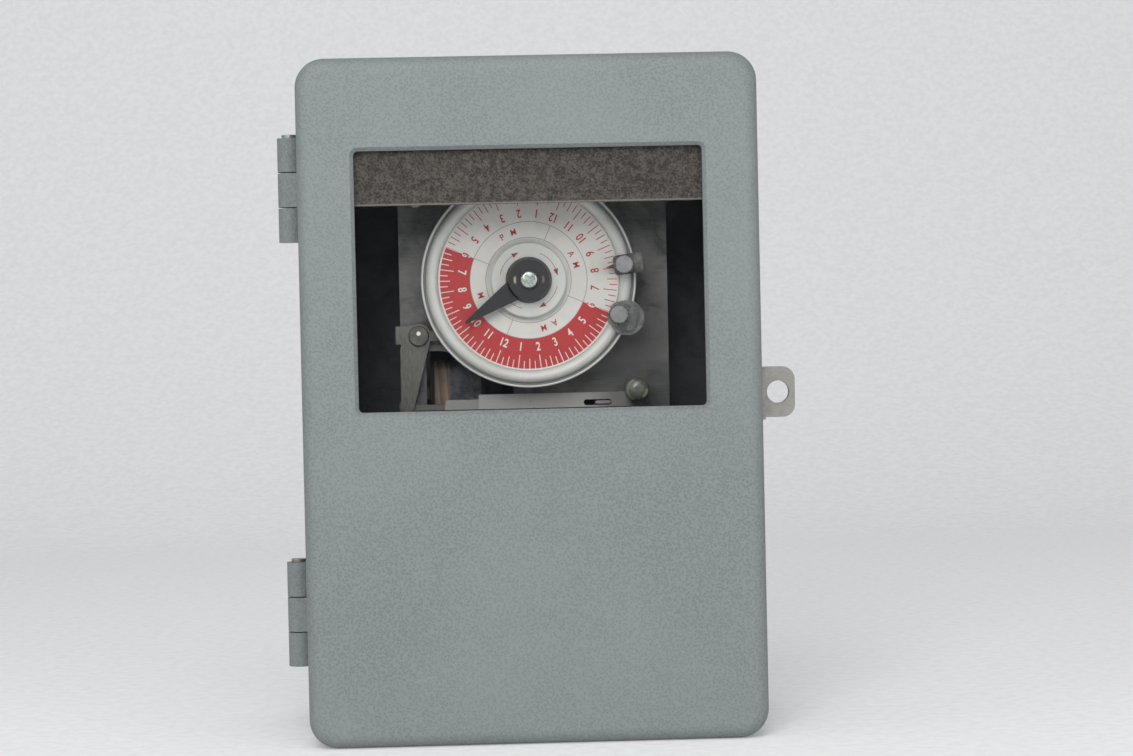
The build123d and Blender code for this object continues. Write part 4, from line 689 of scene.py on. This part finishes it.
# Printed ring: white, with the night half from six in the evening to six in the morning in red. A
# tick stands at each quarter of an hour, white on the red half and red on the white half, and thin
# circles and four cross lines part off the ring of words.

noon_turn = 67.1
words_from = 0.0151
numbers_from = 0.0207
numbers_to = 0.0313
red_ink = tone(178, 40, 42)
printed, shader, at = finish_start("printed_dial_ring", Coat_Weight=0.1)
across, up, radius = at.about(0, dial_height)
turn = up.turn_from(across)
hour = (turn - radians(noon_turn)) / radians(15)


def from_mark(marks):
    """How far round from the nearest tick, in steps of the ticks, where an hour has so many."""
    return ((hour * marks + 0.5).fraction() - 0.5).size()


def night_side(turn):
    """Above 0 in the half from six in the evening to six in the morning, and below it by day."""
    return (turn - radians(noon_turn + 90)).wave()


def thin_line(distance):
    """A thin printed line, from the distance to its middle."""
    return distance.near(0, 0.00008, 0.00018)


tick_start = 0.0286 - (from_mark(2) < 0.1) * 0.0008 - (from_mark(1) < 0.05) * 0.0012
tick = (from_mark(4) * radians(3.75) * radius).near(0, 0.00011, 0.00019) * (radius > tick_start)
night = (night_side(turn) * radius).ease(-0.00004, 0.00004)
number_ring = radius.ease(numbers_from, numbers_from + 0.00008)
number_ring = number_ring * radius.ease(numbers_to, numbers_to + 0.00008, 1.0, 0.0)
wear_and_glint = at.noise(1300, 3, 0.7)
red = (night * (1 - tick) + (1 - night) * tick) * number_ring * wear_and_glint.ease(0.68, 0.8, 1.0, 0.75)
cross_lines = thin_line(((turn - radians(noon_turn)) * 2).wave() * radius / 2)
circles = thin_line(radius - numbers_from).most(thin_line(radius - words_from))
thin = (cross_lines * (radius < numbers_from)).most(circles) * (1 - red)
paper_white = at.noise(60, 3).ease(0.3, 0.7).blend(tone(204, 202, 195), tone(214, 213, 207))
shade = (thin * 0.75).blend(paper_white, tone(118, 122, 112))
feed(
    shader,
    Base_Color=red.blend(shade, red_ink),
    Roughness=0.42 + wear_and_glint * 0.12 - red * 0.06,
    Normal=(red * 0.5 + wear_and_glint * 0.2).bump(0.2, 0.00003),
)
dress("dial_face", printed)

# Numbers: one to twelve twice round the ring, tops to the middle, in narrow bold figures. They are
# printed white on the red half and red on the white half, so the two sixes change colour half way.

ink_share = 0.004
face_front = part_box("dial_face")[0].y
numbers_ink, shader, at = finish_start("number_ink")
across, up = at.about(0, dial_height)[:2]
night = night_side(up.turn_from(across)) > 0
wear_and_glint = at.noise(1100, 3, 0.7)
feed(
    shader,
    Base_Color=night.blend(red_ink, tone(218, 214, 206)),
    Roughness=0.42 + wear_and_glint * 0.15,
    Normal=wear_and_glint.bump(0.1, 0.00003),
)


def lettered(whole, words, size, reach, turn, narrow, tops_in=True):
    """Add words to a group, printed on the dial at a distance from its middle and at an angle."""
    type_face = bpy.data.curves.new("type", "FONT")
    type_face.body = words
    type_face.size = size
    type_face.align_x = "CENTER"
    type_face.align_y = "CENTER"
    type_face.extrude = size * ink_share
    type_face.offset = size * 0.018
    type_face.resolution_u = 5
    stamp = bpy.data.objects.new("stamp", type_face)
    scene.collection.objects.link(stamp)
    flat = as_made(stamp)
    on_face = Matrix.Translation((0, face_front, dial_height)) @ Matrix.Rotation(pi / 2, 4, "X")
    lift = Matrix.Translation((0, 0, size * ink_share))
    turned_in = Matrix.Rotation(radians(turn + (90 if tops_in else -90)), 4, "Z")
    spot = Matrix.Translation((reach * cos(radians(turn)), reach * sin(radians(turn)), 0))
    squeeze = Matrix.Diagonal((narrow, 1, 1, 1))
    flat.transform(on_face @ lift @ spot @ turned_in @ squeeze)
    whole.from_mesh(flat)
    bpy.data.objects.remove(stamp)
    bpy.data.curves.remove(type_face)
    bpy.data.meshes.remove(flat)


def print_on_dial(whole, name, ink):
    """Finish printed lettering as a piece that rides on the dial."""
    bmesh.ops.remove_doubles(whole, verts=whole.verts[:], dist=0.0000005)
    piece = keep(whole, name)
    piece.data.materials.append(ink)
    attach(piece, "dial")


figure_size = 0.0042
figure_reach = 0.0238
figures = bmesh.new()
for past_noon in range(24):
    figure = str((past_noon - 1) % 12 + 1)
    lettered(figures, figure, figure_size, figure_reach, noon_turn + 15 * past_noon, 0.78)
print_on_dial(figures, "dial_numbers", numbers_ink)

# Words in the inner ring: plain red letters for the two halves of the day.

plain_red, shader, at = finish_start("red_print")
wear_and_glint = at.noise(1500, 3, 0.7)
feed(
    shader,
    Base_Color=(wear_and_glint.ease(0.5, 0.75) * 0.6).blend(red_ink, tone(214, 190, 184)),
    Roughness=0.42 + wear_and_glint * 0.15,
)
letter_size = 0.0031
letter_reach = 0.0176
half_space = 7
words = bmesh.new()
for first_letter, turn in (("P", 113.5), ("A", 23.5), ("P", 203.5), ("A", 293.5)):
    for letter, aside in ((first_letter, half_space), ("M", -half_space)):
        lettered(words, letter, letter_size, letter_reach, turn + aside, 0.9, tops_in=False)
print_on_dial(words, "dial_words", plain_red)

# Four arrows on the cap show the way that the dial turns. Each is a thin arc with a solid head.

arrow_ink, shader, at = finish_start("arrow_print")
wear_and_glint = at.noise(1500, 3, 0.7)
feed(
    shader,
    Base_Color=wear_and_glint.ease(0.4, 0.75).blend(tone(128, 44, 42), tone(160, 92, 84)),
    Roughness=0.45 + wear_and_glint * 0.1,
)
cap_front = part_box("dial_cap")[0].y
ink_thickness = 0.02
shaft_from = 10.12
shaft_to = 10.32
arrows = bmesh.new()
for tip_turn in (122, 20, -58, 210):
    tail = bmesh.new()
    ends = [tail.verts.new((shaft_from, 0, 0)), tail.verts.new((shaft_to, 0, 0))]
    stroke = [tail.edges.new(ends)]
    bmesh.ops.spin(
        tail, geom=ends + stroke, cent=(0, 0, 0), axis=(0, 0, 1), angle=radians(46), steps=16
    )
    tail.faces.new([tail.verts.new(c) for c in ((9.35, 0.2, 0), (11.1, 0.2, 0), (10.1, -2.3, 0))])
    lifted = bmesh.ops.extrude_face_region(tail, geom=tail.faces[:])
    bmesh.ops.translate(
        tail,
        verts=[g for g in lifted["geom"] if isinstance(g, bmesh.types.BMVert)],
        vec=(0, 0, ink_thickness),
    )
    gather(arrows, tail, facing(0, cap_front, dial_height, -1, tip_turn))
print_on_dial(arrows, "cap_arrows", arrow_ink)

# Pointer: a fixed black arm with a round hub, moulded with a satin skin, held by a bright screw.

satin_black, shader, at = finish_start("satin_black_moulding", Specular_IOR_Level=0.45)
skin = at.noise(1600, 3, 0.6)
rubbed = at.noise(120, 5, 0.65)
hub_glint = 0.005
hub_front = -0.071
across, up, radius = at.about(0, dial_height)
# Painted highlights: two small glints on the hub's front, left and right of the screw, the right one
# fainter.
wear_and_glint = radius.near(hub_glint, 0.0002, 0.0006) * up.near(0, 0.0005, 0.0017)
wear_and_glint = wear_and_glint * (at.axes()[1] < hub_front) * across.ease(0.0, 0.004, 1.0, 0.35)
shade = (rubbed.ease(0.5, 0.75) * 0.5).blend(tone(24, 25, 26), tone(46, 47, 47))
feed(
    shader,
    Base_Color=wear_and_glint.blend(shade, tone(168, 156, 148)),
    Roughness=0.34 + rubbed * 0.22,
    Normal=skin.bump(0.35, 0.00005),
)
dress("pointer", satin_black)
bright = plated("bright_nickel", tone(158, 168, 161), tone(206, 214, 207), (1, 1, 1), 0.22)
pan_heads(
    "pointer_bright_screw", "pointer_screw", 3.1, 2.2, 1.5, 7.4, bright, cross=True
)

# Trippers: the off tripper is a dark steel clip and the on tripper a smoky clear moulding with a
# round boss. Each is clamped to the dial's rim by a steel thumbscrew with a turned top.

dark_clip, shader, at = finish_start("dark_steel_clip", Metallic=0.6)
wear = at.noise(260, 4, 0.65)
feed(
    shader,
    Base_Color=wear.ease(0.4, 0.75).blend(tone(62, 62, 62), tone(112, 111, 107)),
    Roughness=0.32 + wear * 0.25,
    Normal=wear.bump(0.3, 0.00006),
)
dress("off_tripper", dark_clip)

smoky, shader, at = finish_start("smoky_clear_moulding", IOR=1.49, Coat_Weight=0.5, Coat_Roughness=0.08)
swirl = at.noise(150, 3, 0.55, 0.6)
feed(
    shader,
    Base_Color=swirl.ease(0.35, 0.7).blend(tone(104, 106, 104), tone(146, 149, 146)),
    Alpha=0.55 + swirl * 0.2,
    Roughness=0.14 + swirl * 0.2,
    Normal=swirl.bump(0.15, 0.0002),
)
dress("on_tripper", smoky)


def about_middle(at, node, above=0.0):
    """Across and up from the middle of a CAD node, or from above it, and the distance from there."""
    low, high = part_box(node)
    return at.about((low.x + high.x) / 2, (low.z + high.z) / 2 + above)


def turned_top(name, node):
    """Tarnished steel with fine rings turned round the middle of a thumbscrew."""
    material, shader, at = finish_start(name, Metallic=0.9)
    rings = (about_middle(at, node)[2] * 12000).wave() * 0.5 + 0.5
    tarnish = at.noise(330, 4, 0.65)
    feed(
        shader,
        Base_Color=tarnish.ease(0.35, 0.75).blend(tone(134, 136, 136), tone(110, 112, 110)),
        Roughness=0.3 + tarnish * 0.22,
        Normal=(rings * 0.6 + tarnish * 0.4).bump(0.25, 0.00005),
    )
    dress(node, material)


turned_top("off_thumbscrew_metal", "off_tripper_screw")
turned_top("on_thumbscrew_metal", "on_tripper_screw")

# Slide bar and levers: the bar is a light grey moulding, slotted over a guide key. Its neck and its
# right end are painted dark as shade, and its low step is painted darker. The levers are stamped
# steel and their pivots turned steel, and a highlight is painted just above the trip lever's pivot.

grey_bar, shader, at = finish_start("light_grey_moulding")
mottle = at.noise(90, 4, 0.6)
dust = at.noise(900, 2).ease(0.6, 0.8)
across = at.axes()[0]
# Painted shade darkens the bar's neck and its right end, and its low step is painted darker.
neck_shade = across.ease(-0.0308, -0.0302, 1.0, 0.0)
darker_step = across.ease(-0.0188, -0.0182, 0.4, 0.0)
end_shade = across.ease(0.016, 0.031, 0.0, 0.75)
darkened = neck_shade.most(darker_step).most(end_shade)
shade = (mottle * 0.5 + dust * 0.4).ease(0.2, 0.8).blend(tone(172, 173, 168), tone(142, 142, 136))
feed(
    shader,
    Base_Color=(darkened * 0.85).blend(shade, tone(66, 65, 60)),
    Roughness=0.36 + mottle * 0.2,
    Normal=(mottle * 0.5 + dust * 0.5).bump(0.2, 0.00005),
)
for node in ("slide_bar", "guide_key"):
    dress(node, grey_bar)
stamped = plated("stamped_steel", tone(74, 74, 71), tone(116, 115, 110), (10, 1, 1), 0.38)
for node in ("trip_lever", "manual_lever", "manual_lever_pivot"):
    dress(node, stamped)
highlit_pivot, shader, at = finish_start("highlit_pivot_steel", Metallic=0.7)
# A painted highlight just above the pivot's centre.
pivot_highlight = about_middle(at, "trip_lever_pivot", 0.0009)[2].near(0, 0.0005, 0.0009)
wear = at.noise(300, 4, 0.65)
shade = wear.ease(0.35, 0.7).blend(tone(80, 80, 76), tone(106, 105, 99))
feed(
    shader,
    Base_Color=pivot_highlight.blend(shade, tone(235, 232, 220)),
    Roughness=0.38 + wear * 0.2,
    Normal=wear.bump(0.2, 0.00005),
)
dress("trip_lever_pivot", highlit_pivot)

knob_grey, shader, at = finish_start("glossy_grey_green", Coat_Weight=0.6, Coat_Roughness=0.12)
swirl = at.noise(140, 4, 0.6, 1.5)
# Painted highlights: a glint towards the knob's lower right and a lighter rim on its left.
knob_glint = 0.0031
rim_highlight_radius = 0.0037
across, up, radius = about_middle(at, "manual_knob")
glint = radius.near(knob_glint, 0.0002, 0.0007) * up.turn_from(across).near(-0.45, 0.3, 0.7)
rim_highlight = radius.near(rim_highlight_radius, 0.0002, 0.0005) * (across < -0.0014)
shade = swirl.ease(0.3, 0.7).blend(tone(72, 76, 66), tone(104, 107, 96))
feed(
    shader,
    Base_Color=(glint * 0.8 + rim_highlight * 0.4).blend(shade, tone(186, 188, 160)),
    Roughness=0.22 + swirl * 0.18,
    Normal=swirl.bump(0.15, 0.0001),
)
dress("manual_knob", knob_grey)

# Snap spring: one length of drawn steel wire with sixteen turns and an eye at each end, stretched
# from the anchor stud past the hand lever's pivot to the lever's hook.

wire_radius = 0.4
coil_radius = 1.85
coil_start = 4.5
coil_pitch = 1.3
coil_turns = 16
wire_bend = 0.9
spring_level = 59.8
anchor = Vector((40.6, -spring_level, -46))
hook = Vector((39.5795, -spring_level, -7.4938))
spring_axis = (hook - anchor).normalized()
spring_span = (hook - anchor).length
coil_end = coil_start + coil_pitch * coil_turns
wire = bmesh.new()
ring = bmesh.ops.create_circle(wire, cap_ends=False, segments=10, radius=wire_radius)["verts"]
bmesh.ops.rotate(wire, verts=ring, matrix=Matrix.Rotation(pi / 2, 3, "Y"))
bmesh.ops.translate(wire, verts=ring, vec=(0, -wire_bend, coil_radius))
front_end = wire.verts[:] + wire.edges[:]


def wind(front_end, centre, axis, turn, steps, rise=0.0):
    """Carry the wire's end round an axis, and along it where it has a rise."""
    made = bmesh.ops.spin(
        wire,
        geom=front_end,
        cent=centre,
        axis=axis,
        angle=radians(turn),
        steps=steps,
        dvec=(0, 0, rise / steps),
    )
    return made["geom_last"]


def run_on(front_end, length):
    """Carry the wire's end straight along the spring."""
    edges = [g for g in front_end if isinstance(g, bmesh.types.BMEdge)]
    made = bmesh.ops.extrude_edge_only(wire, edges=edges)["geom"]
    verts = [g for g in made if isinstance(g, bmesh.types.BMVert)]
    bmesh.ops.translate(wire, verts=verts, vec=(0, 0, length))
    edges = [g for g in made if isinstance(g, bmesh.types.BMEdge)]
    return verts + [e for e in edges if all(v in verts for v in e.verts)]


front_end = wind(front_end, (0, -wire_bend, 0), (0, -1, 0), 270, 24)
front_end = run_on(front_end, coil_start - wire_bend)
front_end = wind(front_end, (coil_radius, 0, coil_start - wire_bend), (-1, 0, 0), 90, 6)
front_end = wind(
    front_end, (0, 0, 0), (0, 0, 1), 360 * coil_turns, 22 * coil_turns, coil_pitch * coil_turns
)
front_end = wind(front_end, (coil_radius, 0, coil_end + wire_bend), (1, 0, 0), 90, 6)
front_end = run_on(front_end, spring_span - coil_end - wire_bend)
wind(front_end, (0, wire_bend, spring_span), (0, -1, 0), 270, 24)
bmesh.ops.holes_fill(wire, edges=wire.edges[:])
lay = Matrix((
    (spring_axis.z, 0, spring_axis.x, anchor.x / 1000),
    (0, 1, 0, anchor.y / 1000),
    (-spring_axis.x, 0, spring_axis.z, anchor.z / 1000),
    (0, 0, 0, 1),
))
wire.transform(lay @ Matrix.Scale(0.001, 4))
drawn_wire = plated("drawn_spring_wire", tone(140, 140, 138), tone(190, 190, 186), (6, 6, 1), 0.24)
coiled = keep(wire, "wound_snap_spring")
coiled.data.shade_smooth()
coiled.data.materials.append(drawn_wire)
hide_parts("snap_spring")
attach(coiled, "spring")

# Switch block: black phenolic moulding that holds the fixed contacts and the two rocking blades of
# copper. Square clamp plates and screws stand on the four terminals, between ribs.

phenolic, shader, at = finish_start("black_phenolic", Specular_IOR_Level=0.6, Coat_Weight=0.2)
flow_marks = at.stretched(1, 1, 4).noise(60, 5, 0.7, 1.5)
grain = at.noise(1400, 2)
mixed = (flow_marks * 0.7 + grain * 0.3).ease(0.35, 0.75)
feed(
    shader,
    Base_Color=mixed.blend(tone(24, 23, 23), tone(44, 42, 40)),
    Roughness=0.26 + flow_marks * 0.2,
    Normal=grain.bump(0.2, 0.00004),
)
dress("switch_block", phenolic)
copper, shader, at = finish_start("tarnished_copper", Metallic=1.0)
tarnish = at.noise(200, 4, 0.65)
feed(
    shader,
    Base_Color=tarnish.ease(0.35, 0.7).blend(tone(198, 128, 92), tone(140, 84, 58)),
    Roughness=0.26 + tarnish * 0.25,
    Normal=tarnish.bump(0.2, 0.00004),
)
for node in ("fixed_contacts", "blade_feet", "blade_a", "blade_b"):
    dress(node, copper)
dress("terminal_clamps", brass)
pan_heads("block_pan_screws", "block_screws", 2.8, 1.6, 1.5, 9.5, zinc)
pan_heads("terminal_pan_screws", "terminal_screws", 3.7, 2.4, 1.9, 7.4, turned_steel, cross=True)

# Window frame's screws, with their heads to the wall, and the earth strap of brass with its two
# green earth screws on bosses of the back wall.

pan_heads("retainer_pan_screws", "retainer_screws", 2.6, 1.5, 1.2, 3.9, zinc, body="door", way=1)
dress("earth_strap", brass)
green, shader, at = finish_start("green_dyed_zinc", Metallic=0.7)
dye = at.noise(240, 4, 0.6)
feed(
    shader,
    Base_Color=dye.ease(0.3, 0.7).blend(tone(34, 104, 58), tone(58, 134, 80)),
    Roughness=0.3 + dye * 0.2,
    Normal=dye.bump(0.2, 0.00005),
)
pan_heads("strap_pan_screws", "strap_screws", 4, 2.4, 2, 5.5, zinc)
pan_heads("earth_pan_screws", "earth_screws", 4, 2.4, 2, 5.5, green)
